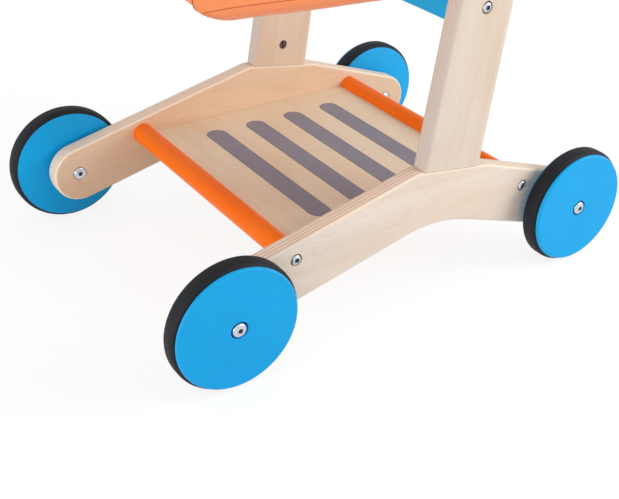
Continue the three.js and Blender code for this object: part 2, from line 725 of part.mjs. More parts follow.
for (const [side, mirror] of [["left", 1], ["right", -1]]) {
  const flank = new THREE.Group();
  flank.scale.x = mirror;
  cart.add(flank);
  place(flank, `${side}_side_plate`, plateGeometry, birch, innerFace);

  for (const [end, y] of Object.entries(axlePlace)) {
    const wheelFace = outerFace + wheelClearance;
    const boltFace = wheelFace + wheelThickness - headRecess + runningGap + seatGap;
    const wheel = `${end}_${side}`;
    place(flank, `${wheel}_wheel`, discGeometry, bluePaint, wheelFace, y, axleHeight);
    place(flank, `${wheel}_tyre`, tyreGeometry, rubber, wheelFace, y, axleHeight);
    place(flank, `${wheel}_spacer`, spacerGeometry, nylon, outerFace, y, axleHeight);
    place(flank, `${wheel}_axle_nut`, sleeveGeometry, steel, innerFace + headRecess, y, axleHeight);
    place(flank, `${wheel}_axle_bolt`, axleBoltGeometry, steel, boltFace, y, axleHeight);
  }
  for (const [end, y] of [["front", frontRodPlace], ["rear", rearRodPlace]]) {
    place(flank, `${end}_rod_${side}_bolt`, rodBoltGeometry, steel, headSeat, y, rodHeight);
  }

  // What stands on the side plate, in the post's leaning frame
  const leaning = new THREE.Group();
  leaning.position.set(innerFace, foot.x, foot.y);
  leaning.rotation.x = -postLean;
  flank.add(leaning);
  const middle = boardThickness * half;
  place(leaning, `${side}_post`, postGeometry, birch);
  place(leaning, `${side}_post_nut`, footNutGeometry, steel, barrelNutRecess, 0, barrelNutAboveFoot);
  const footBolt = place(leaning, `${side}_post_bolt`, footBoltGeometry, steel, middle, 0, footBoltSeat);
  footBolt.rotation.y = Math.PI / 2;
  for (const [end, share] of [["front", -half], ["rear", half]]) {
    const dowel = place(leaning, `${side}_post_${end}_dowel`, dowelGeometry, beech);
    dowel.position.set(middle, share * dowelSpacing, 0);
    dowel.rotation.y = Math.PI / 2;
  }
  place(leaning, `cross_board_${side}_bolt`, crossBoltGeometry, steel, shankInBoard, 0, crossBoardUp);
  const nutFace = crossBoardThickness * half - barrelNutRecess;
  const crossNut = place(leaning, `cross_board_${side}_nut`, crossNutGeometry, steel);
  crossNut.position.set(-crossNutFromEnd, nutFace, crossBoardUp);
  crossNut.rotation.set(-Math.PI / 2, Math.PI / 2, 0);
  place(leaning, `handle_${side}_bolt`, rodBoltGeometry, steel, shankInBoard, 0, handleUp);

  place(flank, `${side}_rail`, railGeometry, birch, innerFace - railThickness - seatGap);
  railBoltPlaces().forEach(([y, z], i) => {
    const end = ["front", "rear"][i];
    place(flank, `${side}_rail_${end}_bolt`, railBoltGeometry, steel, headSeat, y, z);
  });
}

// Pieces that cross from side to side
place(cart, "front_rod", slottedRod(1), orangePaint, 0, frontRodPlace, rodHeight);
place(cart, "rear_rod", slottedRod(-1), orangePaint, 0, rearRodPlace, rodHeight);
place(cart, "deck", deck(), birch);
stripPlaces().forEach((y, i) => {
  const strip = stripSolid(0, stripThickness);
  place(cart, `grip_strip_${i + 1}`, strip, gripGrey, 0, y, deckHeight - stripRecess + seatGap);
});

const upperWorks = new THREE.Group();
upperWorks.position.set(0, foot.x, foot.y);
upperWorks.rotation.x = -postLean;
cart.add(upperWorks);
place(upperWorks, "cross_board", crossBoard(), bluePaint, 0, 0, crossBoardUp);
place(upperWorks, "handle", crossRod(handleRadius), orangePaint, 0, 0, handleUp);

place(cart, "front_rail", crossRail(), bluePaint, 0, rimFront - railThickness);
place(cart, "rear_rail", crossRail(), bluePaint, 0, rimBack);
place(cart, "basket", basket(), canvas);

export default cart;
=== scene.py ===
import math
import random

import bmesh
import bpy
from mathutils import Matrix, Vector, noise


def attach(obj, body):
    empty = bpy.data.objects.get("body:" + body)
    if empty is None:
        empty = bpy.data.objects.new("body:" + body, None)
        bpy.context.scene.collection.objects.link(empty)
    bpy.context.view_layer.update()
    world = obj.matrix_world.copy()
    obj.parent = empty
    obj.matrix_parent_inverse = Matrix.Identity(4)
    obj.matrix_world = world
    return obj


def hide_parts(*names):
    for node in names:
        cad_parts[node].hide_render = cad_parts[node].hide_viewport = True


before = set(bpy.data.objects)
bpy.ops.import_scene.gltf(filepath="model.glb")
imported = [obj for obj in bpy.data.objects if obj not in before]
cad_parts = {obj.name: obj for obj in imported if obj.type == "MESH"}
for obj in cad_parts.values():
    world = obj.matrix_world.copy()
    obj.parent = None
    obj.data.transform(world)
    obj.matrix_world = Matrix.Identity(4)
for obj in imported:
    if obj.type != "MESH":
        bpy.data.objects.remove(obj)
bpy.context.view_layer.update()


# Camera
# The picture looks down on the cart from its front left, a little tilted. It is cropped out of a
# larger one, so its middle lies off the line of sight.
camera_place = Vector((0.78965, -0.53895, 0.5602))
sensor_width = 36.0
azimuth = math.radians(53.17)
elevation = math.radians(29.74)
roll = math.radians(2.66)
picture_width, picture_height = 619, 499
sight_pixel = (353.4, 221.6)
focal_pixels = 1044.9


def placed(name, data):
    """A new object in the scene."""
    made = bpy.data.objects.new(name, data)
    bpy.context.scene.collection.objects.link(made)
    return made


sight = Vector((-math.sin(azimuth) * math.cos(elevation),
                math.cos(azimuth) * math.cos(elevation), -math.sin(elevation)))
level = Vector((math.cos(azimuth), math.sin(azimuth), 0.0))
above = level.cross(sight)
right = math.cos(roll) * level + math.sin(roll) * above
upright = math.cos(roll) * above - math.sin(roll) * level
lens = bpy.data.cameras.new("camera")
lens.sensor_width = sensor_width
lens.lens = sensor_width * focal_pixels / picture_width
lens.shift_x = (picture_width / 2 - sight_pixel[0]) / picture_width
lens.shift_y = (sight_pixel[1] - picture_height / 2) / picture_width
camera = placed("camera", lens)
turn = Matrix((right, upright, -sight)).transposed().to_4x4()
camera.matrix_world = Matrix.Translation(camera_place) @ turn
bpy.context.scene.camera = camera
bpy.context.scene.view_settings.view_transform = "Standard"


# Studio
# A white floor and a white surround, two soft lamps from the cart's left rear, which shine on the
# outer faces, and one low down in front that reaches under the basket.
class Varying:
    """A value that changes over a surface: the output socket of a shader node."""

    def __init__(self, finish, socket):
        self.finish = finish
        self.socket = socket

    def maths(self, operation, *others):
        inputs = dict(enumerate((self, *others)))
        return self.finish.node("Math", {"operation": operation}, inputs)

    def __add__(self, other):
        return self.maths("ADD", other)

    def __sub__(self, other):
        return self.maths("SUBTRACT", other)

    def __mul__(self, other):
        return self.maths("MULTIPLY", other)

    def __truediv__(self, other):
        return self.maths("DIVIDE", other)

    def __rsub__(self, other):
        return self.finish.node("Math", {"operation": "SUBTRACT"}, {0: other, 1: self})

    def __abs__(self):
        return self.maths("ABSOLUTE")

    __radd__ = __add__
    __rmul__ = __mul__

    def at_least(self, other):
        return self.maths("MAXIMUM", other)

    def wave(self):
        return self.maths("SINE")

    def rise(self, low, high):
        """0 below low, 1 above high, and smooth between them."""
        return self.finish.node("MapRange", {"interpolation_type": "SMOOTHSTEP"},
                                {"Value": self, "From Min": low, "From Max": high})


class Finish:
    """A material: the shader that a piece is painted or left with, and the nodes that feed it."""

    def __init__(self, name, **constants):
        self.material = bpy.data.materials.new(name)
        self.material.use_nodes = True
        self.tree = self.material.node_tree
        self.shader = self.tree.nodes["Principled BSDF"]
        self.set(**{"IOR": 1.5, **constants})

    def node(self, kind, settings={}, inputs={}, output=0):
        made = self.tree.nodes.new("ShaderNode" + kind)
        for name, value in settings.items():
            setattr(made, name, value)
        self.feed(made, inputs)
        return Varying(self, made.outputs[output])

    def feed(self, node, inputs):
        for name, value in inputs.items():
            if isinstance(value, Varying):
                self.tree.links.new(value.socket, node.inputs[name])
            else:
                node.inputs[name].default_value = value

    def set(self, **inputs):
        self.feed(self.shader, {name.replace("_", " "): value for name, value in inputs.items()})

    def mix(self, share, first, second, blend="MIX"):
        """One colour laid over another by a share."""
        settings = {"data_type": "RGBA", "blend_type": blend}
        return self.node("Mix", settings, {0: share, 6: first, 7: second}, output=2)

    def place(self):
        """Where a point of the piece is, along X, Y and Z, in metres."""
        where = self.node("TexCoord", output=3)
        return [self.node("SeparateXYZ", {}, {0: where}, output=i) for i in range(3)]

    def cloud(self, x, y, z, detail=2.0, roughness=0.5):
        """Soft noise from 0 to 1 over three lengths that are already scaled."""
        where = self.node("CombineXYZ", {}, {0: x, 1: y, 2: z})
        inputs = {"Vector": where, "Scale": 1.0, "Detail": detail, "Roughness": roughness}
        return self.node("TexNoise", {}, inputs)

    def grain(self, scale, detail=2.0):
        """Soft noise over the piece's own space, at one scale or at one for each axis."""
        scales = scale if isinstance(scale, tuple) else (scale, scale, scale)
        return self.cloud(*[value * by for value, by in zip(self.place(), scales)], detail=detail)

    def emboss(self, height, depth):
        """Relief of a height field; depth is in metres."""
        bump = self.node("Bump", {}, {"Height": height, "Strength": 1.0, "Distance": depth})
        self.set(Normal=bump)


def colour(red, green, blue):
    """A colour from its 0 to 255 values, as they look on a screen, to what a shader takes."""
    linear = [v / 3294.6 if v <= 10 else ((v / 255 + 0.055) / 1.055) ** 2.4 for v in (red, green, blue)]
    return (*linear, 1.0)


def seen_by_eye(finish):
    """1 for the rays that come from the camera, straight or by a gloss or glass surface."""
    straight, glossy, through_glass = [finish.node("LightPath", output=f"Is {kind} Ray")
                                       for kind in ("Camera", "Glossy", "Transmission")]
    return straight.at_least(glossy).at_least(through_glass)


floor_radius = 6.0
floor_fade = (0.9, 2.4)  # where the shadow's part of the floor gives way to plain white
lit_height = 0.15
ground = Finish("studio_floor", Base_Color=(0.8, 0.8, 0.8, 1.0), Roughness=0.9)
x, y, _ = ground.place()
far = (x * x + y * y).rise(floor_fade[0] ** 2, floor_fade[1] ** 2)
dim = ground.node("BsdfDiffuse", {}, {"Color": (0.22, 0.22, 0.22, 1.0)})
glow = ground.node("Emission", {}, {"Color": (1.0, 1.0, 1.0, 1.0), "Strength": 0.84})
white = ground.node("Emission", {}, {"Color": (1.0, 1.0, 1.0, 1.0), "Strength": 1.0})
shaded = ground.node("AddShader", {}, {0: dim, 1: glow})
near_or_far = ground.node("MixShader", {}, {0: far, 1: shaded, 2: white})
bounce = Varying(ground, ground.shader.outputs[0])
looks = ground.node("MixShader", {}, {0: seen_by_eye(ground), 1: bounce, 2: near_or_far})
ground.feed(ground.tree.nodes["Material Output"], {"Surface": looks})

disc = bmesh.new()
bmesh.ops.create_circle(disc, cap_ends=True, segments=96, radius=floor_radius)
floor_mesh = bpy.data.meshes.new("studio_floor")
disc.to_mesh(floor_mesh)
disc.free()
floor_mesh.materials.append(ground.material)
floor = placed("studio_floor", floor_mesh)


class Surround(Finish):
    """The nodes of the world round the cart."""

    def __init__(self, world):
        self.tree = world.node_tree


world = bpy.data.worlds.new("surround")
world.use_nodes = True
bpy.context.scene.world = world
air = Surround(world)
backdrop = air.node("Background", {}, {"Color": (1.0, 1.0, 1.0, 1.0), "Strength": 1.0})
daylight = air.node("Background", {}, {"Color": (0.96, 0.98, 1.0, 1.0), "Strength": 0.6})
both = air.node("MixShader", {}, {0: seen_by_eye(air), 1: daylight, 2: backdrop})
air.feed(world.node_tree.nodes["World Output"], {"Surface": both})

for name, place, size, power in (
    ("key_lamp", (1.3, 1.3, 0.9), 1.0, 15.6),
    ("rear_lamp", (0.9, 1.8, 1.0), 1.0, 7.4),
    ("front_lamp", (0.5, -2.2, 0.25), 0.5, 18.0),
):
    lamp = bpy.data.lights.new(name, "AREA")
    lamp.size = size
    lamp.energy = power
    lamp_object = placed(name, lamp)
    lamp_object.location = place
    aim = Vector((0, 0, lit_height)) - Vector(place)
    lamp_object.rotation_euler = aim.to_track_quat("-Z", "Y").to_euler()


# Side plates
# Two cranked boards of 18 mm birch plywood, routed over and lacquered, whose edges show thin
# dark plies. The post stands on a flat square to its lean; the arch below hides its foot bolt.
mm = 0.001
wheelbase = 392 * mm
inner_face = 139.25 * mm
board_thickness = 18 * mm
outer_face = inner_face + board_thickness
board_round = 3 * mm
axle_height = 60 * mm * math.cos(math.pi / 36)
arm_width = 58 * mm
arm_rises = {"front": math.radians(13.5), "rear": math.radians(18.8)}
axle_above_arm = 2 * mm
axle_beyond_arm = 2 * mm
end_share = 0.49  # of a board's width: just short of a half-round end
arch_radius = 130 * mm
bend_radius = 14 * mm
post_lean = math.radians(8.3)
post_width = 67 * mm
seat_length = post_width + 17 * mm
post_forward = 3.5 * mm
rod_radius = 10.5 * mm
rod_height = axle_height + 28.7 * mm
rod_places = {"front": -wheelbase / 2 + 72 * mm, "rear": wheelbase / 2 - 56.5 * mm}
socket_depth = 5 * mm
deck_top = rod_height + 0.5 * mm
deck_thickness = 6 * mm
deck_groove = 2.5 * mm
fit = 0.3 * mm
overrun = 10 * mm
bolt_radius = 3 * mm
head_radius = 5.25 * mm
axle_radius = 5 * mm
axle_head_radius = 7 * mm
head_recess = 1.5 * mm
head_gap = 0.7 * mm
ring_depth = 4 * mm
ring_inset = 0.5 * mm
rod_play = 0.12 * mm
quarter_turn = math.pi / 2
nut_up = 24 * mm
pocket_depth = 7 * mm
dowel_radius, dowel_depth = 4 * mm, 20 * mm
dowel_places = (-21 * mm, 21 * mm)
axle_spots = [(-wheelbase / 2, axle_height), (wheelbase / 2, axle_height)]


def rounded(corners):
    """The points of an outline in the YZ plane, from corners of (y, z, radius), anticlockwise."""
    step_angle = math.radians(5)
    points = []
    for i, (y, z, radius) in enumerate(corners):
        at = Vector((y, z))
        back = (Vector(corners[i - 1][:2]) - at).normalized()
        ahead = (Vector(corners[(i + 1) % len(corners)][:2]) - at).normalized()
        half_angle = back.angle(ahead) / 2
        centre = at + (back + ahead).normalized() * (radius / math.sin(half_angle))
        start = at + back * (radius / math.tan(half_angle)) - centre
        hollow = back.x * ahead.y - back.y * ahead.x > 0
        sweep = (math.pi - 2 * half_angle) * (-1 if hollow else 1)
        steps = max(4, math.ceil(abs(sweep) / step_angle))
        for step in range(steps + 1):
            points.append(centre + Matrix.Rotation(sweep * step / steps, 2) @ start)
    return points


def skin(rings, closed_ends=True):
    """A mesh through rings of points, each as long as the others; the ends are closed flat."""
    shell = bmesh.new()
    made = [[shell.verts.new(point) for point in ring] for ring in rings]
    for low, high in zip(made, made[1:]):
        for i, vertex in enumerate(low):
            shell.faces.new((low[i - 1], vertex, high[i], high[i - 1]))
    if closed_ends:
        shell.faces.new(made[0][::-1])
        shell.faces.new(made[-1])
    bmesh.ops.recalc_face_normals(shell, faces=shell.faces)
    mesh = bpy.data.meshes.new("shape")
    shell.to_mesh(mesh)
    shell.free()
    return mesh


def board(outline, low, high, edge_round, flat_margin=0.4 * mm, steps=5):
    """A board between two X faces whose edges are rounded over along the whole outline."""
    mitres = []
    for i, point in enumerate(outline):
        before = (point - outline[i - 1]).normalized()
        after = (outline[(i + 1) % len(outline)] - point).normalized()
        mitres.append(Vector((before.y + after.y, -before.x - after.x)) / (1 + before.dot(after)))
    quarter = [(step / steps) * quarter_turn for step in range(steps + 1)]
    near = [(edge_round * (1 - math.cos(a)), edge_round * (1 - math.sin(a))) for a in quarter]
    near.insert(0, (0.0, edge_round + flat_margin))
    profile = [(low + rise, inset) for rise, inset in near]
    profile += [(high - rise, inset) for rise, inset in reversed(near)]
    rings = []
    for x, inset in profile:
        ring = [point - mitre * inset for point, mitre in zip(outline, mitres)]
        rings.append([(x, point.x, point.y) for point in ring])
    return skin(rings)


def turned(profile, sides=96, closed=False):
    """A turned shape on the X axis, from points of (place along the axis, radius)."""
    angles = [math.tau * i / sides for i in range(sides)]
    rings = [[(x, r * math.cos(a), r * math.sin(a)) for a in angles] for x, r in profile]
    if closed:
        rings.append(rings[0])
    mesh = skin(rings, closed_ends=not closed)
    if closed:
        merge(mesh)
    return mesh


def merge(mesh):
    """Joins the points of a mesh that lie on each other and turns its faces outwards."""
    shell = bmesh.new()
    shell.from_mesh(mesh)
    bmesh.ops.remove_doubles(shell, verts=shell.verts, dist=0.01 * mm)
    bmesh.ops.recalc_face_normals(shell, faces=shell.faces)
    shell.to_mesh(mesh)
    shell.free()


def pin(radius, low, high, y=0.0, z=0.0, sides=48):
    """A plain round pin along X, for holes."""
    mesh = turned([(low, radius), (high, radius)], sides)
    mesh.transform(Matrix.Translation((0, y, z)))
    return mesh


def block(low, high):
    """A box from its lowest corner to its highest."""
    sizes = [b - a for a, b in zip(low, high)]
    middle = [(a + b) / 2 for a, b in zip(low, high)]
    shape = bmesh.new()
    bmesh.ops.create_cube(shape, size=1.0)
    mesh = bpy.data.meshes.new("block")
    shape.to_mesh(mesh)
    shape.free()
    mesh.transform(Matrix.Translation(middle) @ Matrix.Diagonal((*sizes, 1)))
    return mesh


def carve(mesh, cutters):
    """What is left of a mesh when the cutters are taken out of it."""
    blank = placed("blank", mesh)
    tools = [placed("cutter", cutter) for cutter in cutters]
    for tool in tools:
        cut = blank.modifiers.new("cut", "BOOLEAN")
        cut.operation = "DIFFERENCE"
        cut.solver = "EXACT"
        cut.object = tool
    ready = blank.evaluated_get(bpy.context.evaluated_depsgraph_get())
    left = bpy.data.meshes.new_from_object(ready)
    for thing in (blank, *tools):
        bpy.data.objects.remove(thing)
    return left


def mirrored(mesh):
    """The same shape for the other side of the cart."""
    other = mesh.copy()
    other.transform(Matrix.Scale(-1, 4, (1, 0, 0)))
    other.flip_normals()
    return other


def dressed(mesh, finish):
    """Leaves one finish on a mesh and nothing else."""
    mesh.materials.clear()
    mesh.materials.append(finish.material)


def piece(name, mesh, finish, nodes=(), body="frame", crease=math.radians(38)):
    """A finished piece that stands for some CAD nodes and rides on a body."""
    mesh.name = name
    dressed(mesh, finish)
    mesh.shade_smooth()
    mesh.set_sharp_from_angle(angle=crease)
    made = placed(name, mesh)
    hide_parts(*nodes)
    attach(made, body)
    return made


def crossing(start, along, other, other_along):
    """Where two lines of the YZ plane cross, each from a point and a direction."""
    gap = other - start
    travel = gap.x * other_along.y - gap.y * other_along.x
    return start + along * (travel / (along.x * other_along.y - along.y * other_along.x))


def arm(end, towards):
    """The direction of an arm's edges, and where its upper and lower edge reach its end."""
    rise = arm_rises[end]
    along = Vector((towards * math.cos(rise), math.sin(rise)))
    over = Vector((-towards * math.sin(rise), math.cos(rise)))
    middle = Vector((-towards * wheelbase / 2, axle_height)) - over * axle_above_arm
    tip = middle + along * (axle_beyond_arm - arm_width / 2)
    return along, tip + over * arm_width / 2, tip - over * arm_width / 2


front_along, front_top, front_bottom = arm("front", 1)
rear_along, rear_top, rear_bottom = arm("rear", -1)
peak = crossing(front_top, front_along, rear_top, rear_along)
front_angle = arm_rises["front"] + post_lean
rear_angle = arm_rises["rear"] - post_lean
seat_share = math.sin(rear_angle) / math.sin(front_angle + rear_angle)
seat_front = peak - front_along * (seat_length * seat_share)
seat_along = Vector((math.cos(post_lean), -math.sin(post_lean)))
seat_rear = seat_front + seat_along * seat_length
foot = seat_front + seat_along * (seat_length / 2 - post_forward)
bend = crossing(front_bottom, front_along, rear_bottom, rear_along)
end_round = arm_width * end_share
plate_outline = rounded([
    (*front_bottom, end_round), (*bend, arch_radius), (*rear_bottom, end_round),
    (*rear_top, end_round), (*seat_rear, bend_radius), (*seat_front, bend_radius),
    (*front_top, end_round),
])

# The post's own frame: up along its middle line from the foot, and across it
on_post = Matrix.Translation((0, *foot)) @ Matrix.Rotation(-post_lean, 4, "X")


def from_foot(mesh):
    """Takes a mesh from the post's own frame to its place."""
    mesh.transform(on_post)
    return mesh


def upright_pin(radius, low, high, across=0.0, sides=48):
    """A pin along the post's line, in the middle of the board."""
    mesh = turned([(low, radius), (high, radius)], sides)
    middle = inner_face + board_thickness / 2
    mesh.transform(Matrix.Translation((middle, across, 0)) @ Matrix.Rotation(-quarter_turn, 4, "Y"))
    return from_foot(mesh)


def plywood(name, low, high, plies, layers="x", grain_turn=0.0, seed=0.0, ply_contrast=0.9,
            shaded_inner=(235, 207, 178), outer=(241, 226, 213), edge=(252, 235, 215)):
    """Lacquered birch plywood whose plies lie between two places on an axis, with its own tone on each face
    and at the edges;
    the inner face's darker tone is painted shade. grain_turn is the grain's direction in the board's plane."""
    wood = Finish(name, Coat_Roughness=0.35, Specular_IOR_Level=0.35)
    x, y, z = wood.place()
    away, one, two = (x, y, z) if layers == "x" else (z, x, y)
    depth = ((abs(x) if layers == "x" else z) - low) / (high - low)
    shift = away * 3.0 + seed
    cos, sin = math.cos(grain_turn), math.sin(grain_turn)
    along = one * cos + two * sin
    across = two * cos - one * sin
    drift = wood.cloud(along * 3.0, across * 9.0, shift + 4.0, detail=1.0)
    figure = wood.cloud(along * 2.2, across * 120.0 + drift * 2.0, shift, detail=3.0, roughness=0.6)
    fibre = wood.cloud(along * 30.0, across * 1500.0, shift, detail=2.0)
    mottle = wood.cloud(along * 10.0, across * 26.0, shift + 9.0, detail=3.0)
    pores = wood.cloud(along * 110.0, across * 1900.0, shift + 2.0, detail=0.0).rise(0.68, 0.8)
    # The inner face gets a darker tone than the outer one: painted shade for faces that turn inwards or
    # down.
    face = wood.mix(depth.rise(0.4, 0.6), colour(*shaded_inner), colour(*outer))
    face = wood.mix(figure.rise(0.35, 0.75) * 0.55, face, colour(248, 240, 230), "MULTIPLY")
    face = wood.mix(fibre * 0.5, face, colour(250, 245, 239), "MULTIPLY")
    face = wood.mix(mottle.rise(0.35, 0.75) * 0.8, face, colour(249, 243, 235), "MULTIPLY")
    face = wood.mix(pores * 0.3, face, colour(214, 188, 164), "MULTIPLY")

    wander = wood.cloud(along * 16.0, across * 16.0, shift + 7.0, detail=2.0) - 0.5
    level = depth * plies + wander * 0.22
    swing = (level * math.pi).wave()
    end_grain = (0.0 - swing).rise(0.7, 1.0)
    glue = 1.0 - abs(swing).rise(0.05, 0.3)
    specks = wood.cloud(along * 900.0, across * 900.0, depth * 60.0, detail=1.0)
    sides = wood.mix(fibre * 0.4 + mottle * 0.4, colour(*edge), colour(246, 238, 230), "MULTIPLY")
    dark_plies = end_grain * (0.7 + specks * 0.3) * ply_contrast
    sides = wood.mix(dark_plies, sides, colour(192, 158, 136), "MULTIPLY")
    sides = wood.mix(glue * ply_contrast * 0.25, sides, colour(200, 172, 150), "MULTIPLY")
    inside = depth.rise(0.006, 0.03) * (1.0 - depth.rise(0.97, 0.994))
    wood.set(Base_Color=wood.mix(inside, face, sides))
    wood.set(Roughness=0.4 + figure * 0.08 + inside * 0.16, Coat_Weight=0.12 - inside * 0.08)
    relief = fibre * 0.5 + figure * 0.3 - pores * 0.4 - inside * end_grain * specks
    wood.emboss(relief, 0.04 * mm)
    return wood


plate_wood = plywood("birch_plate", inner_face, outer_face, 9)
through = (inner_face - overrun, outer_face + overrun)


def bolt_cuts(y, z):
    """A bolt's hole through a board, and the counterbore with a groove round its head."""
    recess = pin(head_radius + head_gap, outer_face - head_recess, through[1], y, z)
    inside, outside = head_radius - ring_inset, head_radius + head_gap
    floor = outer_face - head_recess - ring_depth
    ring = turned([(floor, inside), (outer_face, inside), (outer_face, outside), (floor, outside)],
                  48, closed=True)
    ring.transform(Matrix.Translation((0, y, z)))
    return [pin(bolt_radius + fit, *through, y, z), recess, ring]


def both_boards(name, left, wood, node):
    """The left board and its mirror image on the right."""
    piece(f"left_{name}", left, wood, [f"left_{node}"])
    piece(f"right_{name}", mirrored(left), wood, [f"right_{node}"])


plate_cuts = [pin(axle_radius + fit, *through, *spot) for spot in axle_spots]
for place in rod_places.values():
    socket = pin(rod_radius + rod_play, through[0], inner_face + socket_depth, place, rod_height, 96)
    plate_cuts += [socket, *bolt_cuts(place, rod_height)]
for spot in axle_spots:
    plate_cuts.append(pin(axle_head_radius + head_gap, through[0], inner_face + head_recess, *spot))
plate_cuts.append(block((through[0], rod_places["front"], deck_top - deck_thickness - fit / 2),
                        (inner_face + deck_groove, rod_places["rear"], deck_top + fit / 2)))
seen_from_foot = [on_post.inverted() @ Vector((0, *point)) for point in plate_outline]
arch_up = max(point.z for point in seen_from_foot
              if abs(point.y) < post_width / 4 and point.z < -arm_width / 2)
foot_bolt_seat = arch_up + pocket_depth
plate_cuts.append(upright_pin(head_radius + fit, arch_up - overrun, foot_bolt_seat))
plate_cuts.append(upright_pin(bolt_radius + fit, foot_bolt_seat - overrun, overrun))
for across in dowel_places:
    plate_cuts.append(upright_pin(dowel_radius + fit, -dowel_depth - fit, overrun, across))
left_plate = carve(board(plate_outline, inner_face, outer_face, board_round), plate_cuts)
both_boards("side_board", left_plate, plate_wood, "side_plate")


# Posts
# Two boards of the same plywood that lean rearwards and narrow a little towards a round top.
# Each stands on its side plate with a barrel nut, a bolt from the arch and two dowels.
post_top_width = 58 * mm
total_height = 500 * mm
post_up = (total_height - foot.y - post_top_width / 2) / math.cos(post_lean)
post_length = post_up + post_top_width / 2
cross_board_up = 151 * mm
rim_height = total_height - 80 * mm
post_at_rim = foot.x + (rim_height - foot.y) * math.tan(post_lean)
rail_bolts = [(post_at_rim + off, rim_height) for off in (-15 * mm, 15 * mm)]
handle_radius = 12.5 * mm
nut_radius = 5 * mm
nut_hole_radius = nut_radius + 0.15 * mm
nut_hole_depth = 15.8 * mm
nut_inside = 1.5 * mm
bolt_past_nut = 6 * mm
post_foot_round = 6 * mm
seat_gap = 0.1 * mm

# The post's inner face tone is darker than its outer one, as painted shade.
post_wood = plywood("birch_post", inner_face, outer_face, 9, grain_turn=quarter_turn - post_lean, seed=3.7,
                    ply_contrast=0.25, shaded_inner=(229, 208, 186), outer=(230, 214, 198), edge=(217, 206, 197))
half_foot = (post_width + overrun / post_length * (post_width - post_top_width)) / 2
half_top = post_top_width / 2
top_round = post_top_width * end_share
post_outline = rounded([
    (-half_foot, -overrun, post_foot_round), (half_foot, -overrun, post_foot_round),
    (half_top, post_length, top_round), (-half_top, post_length, top_round),
])
post_mesh = from_foot(board(post_outline, inner_face, outer_face, board_round))
post_cuts = [
    from_foot(block((through[0], -post_width, -post_width), (through[1], post_width, seat_gap))),
    from_foot(pin(nut_hole_radius, through[0], inner_face + nut_hole_depth, 0, nut_up)),
    from_foot(pin(handle_radius + rod_play, through[0], inner_face + socket_depth, 0, post_up, 96)),
    *[from_foot(cut) for up in (post_up, cross_board_up) for cut in bolt_cuts(0, up)],
    *[cut for place in rail_bolts for cut in bolt_cuts(*place)],
    upright_pin(bolt_radius + fit, -overrun, nut_up + bolt_past_nut + fit),
    *[upright_pin(dowel_radius + fit, -overrun, dowel_depth + fit, across) for across in dowel_places],
]
both_boards("upright", carve(post_mesh, post_cuts), post_wood, "post")


def grained(name, roughness, scale, detail, first, second):
    """A plain finish whose tone and relief follow one soft grain."""
    finish = Finish(name, Roughness=roughness)
    grain = finish.grain(scale, detail)
    finish.set(Base_Color=finish.mix(grain, colour(*first), colour(*second)))
    finish.emboss(grain, 0.05 * mm)
    return finish


dowel_wood = grained("beech_dowel", 0.6, (900.0, 900.0, 20.0), 2.0, (222, 188, 148), (196, 154, 112))


# Deck
# A 6 mm birch plywood panel that lies in grooves of the side plates and slots of the two rods.
# Four shallow recesses with round ends take the grip strips.
strip_length = 213 * mm
strip_width = 21.6 * mm
strip_pitch = 47.5 * mm
strip_count = 4
strips_rearward = 3.9 * mm
first_strip = sum(rod_places.values()) / 2 + strips_rearward - (strip_count - 1) / 2 * strip_pitch
strip_recess = 1 * mm
strip_proud = 0.25 * mm
strip_round = 0.3 * mm
slot_depth = 4 * mm


def stadium(length, width, low, high, edge_round=0.0, steps=3):
    """A bar with half-round ends that lies flat along X, with its upper edge rounded over."""
    rings = []
    profile = [(low, 0.0), (high - edge_round, 0.0)]
    if edge_round:
        quarter = [(step / steps) * quarter_turn for step in range(1, steps + 1)]
        profile += [(high - edge_round * (1 - math.sin(a)), edge_round * (1 - math.cos(a))) for a in quarter]
        profile.append((high, edge_round + 0.4 * mm))
    reach = (length - width) / 2
    ends = [(side * reach, side * -quarter_turn + math.pi * step / 24)
            for side in (1, -1) for step in range(25)]
    for z, inset in profile:
        radius = width / 2 - inset
        rings.append([(middle + radius * math.cos(a), radius * math.sin(a), z) for middle, a in ends])
    return skin(rings)


deck_wood = plywood("birch_deck", deck_top - deck_thickness, deck_top, 5, layers="z", seed=1.3,
                    outer=(243, 226, 199))
deck_side = inner_face + deck_groove - fit
into_rod = rod_radius - slot_depth + fit
deck_mesh = block((-deck_side, rod_places["front"] + into_rod, deck_top - deck_thickness),
                  (deck_side, rod_places["rear"] - into_rod, deck_top))
recesses = []
for i in range(strip_count):
    recess = stadium(strip_length + 2 * fit, strip_width + 2 * fit,
                     deck_top - strip_recess, deck_top + overrun)
    recess.transform(Matrix.Translation((0, first_strip + i * strip_pitch, 0)))
    recesses.append(recess)
piece("deck_panel", carve(deck_mesh, recesses), deck_wood, ["deck"])


# Grip strips
# Four grey strips of gritty non-slip sheet with round ends, stuck into the deck's recesses.
# One strip is made and set out along the deck at an even pitch.
grip = Finish("grip_sheet")
grit = grip.grain(2600.0, detail=1.0)
wear = grip.grain(40.0, detail=3.0)
shade = grip.mix(grit.rise(0.3, 0.7), colour(126, 124, 135), colour(156, 152, 164))
grip.set(Base_Color=grip.mix(wear.rise(0.45, 0.8) * 0.3, shade, colour(168, 162, 168)))
grip.set(Roughness=0.68 + grit * 0.2)
grip.emboss(grit, 0.08 * mm)


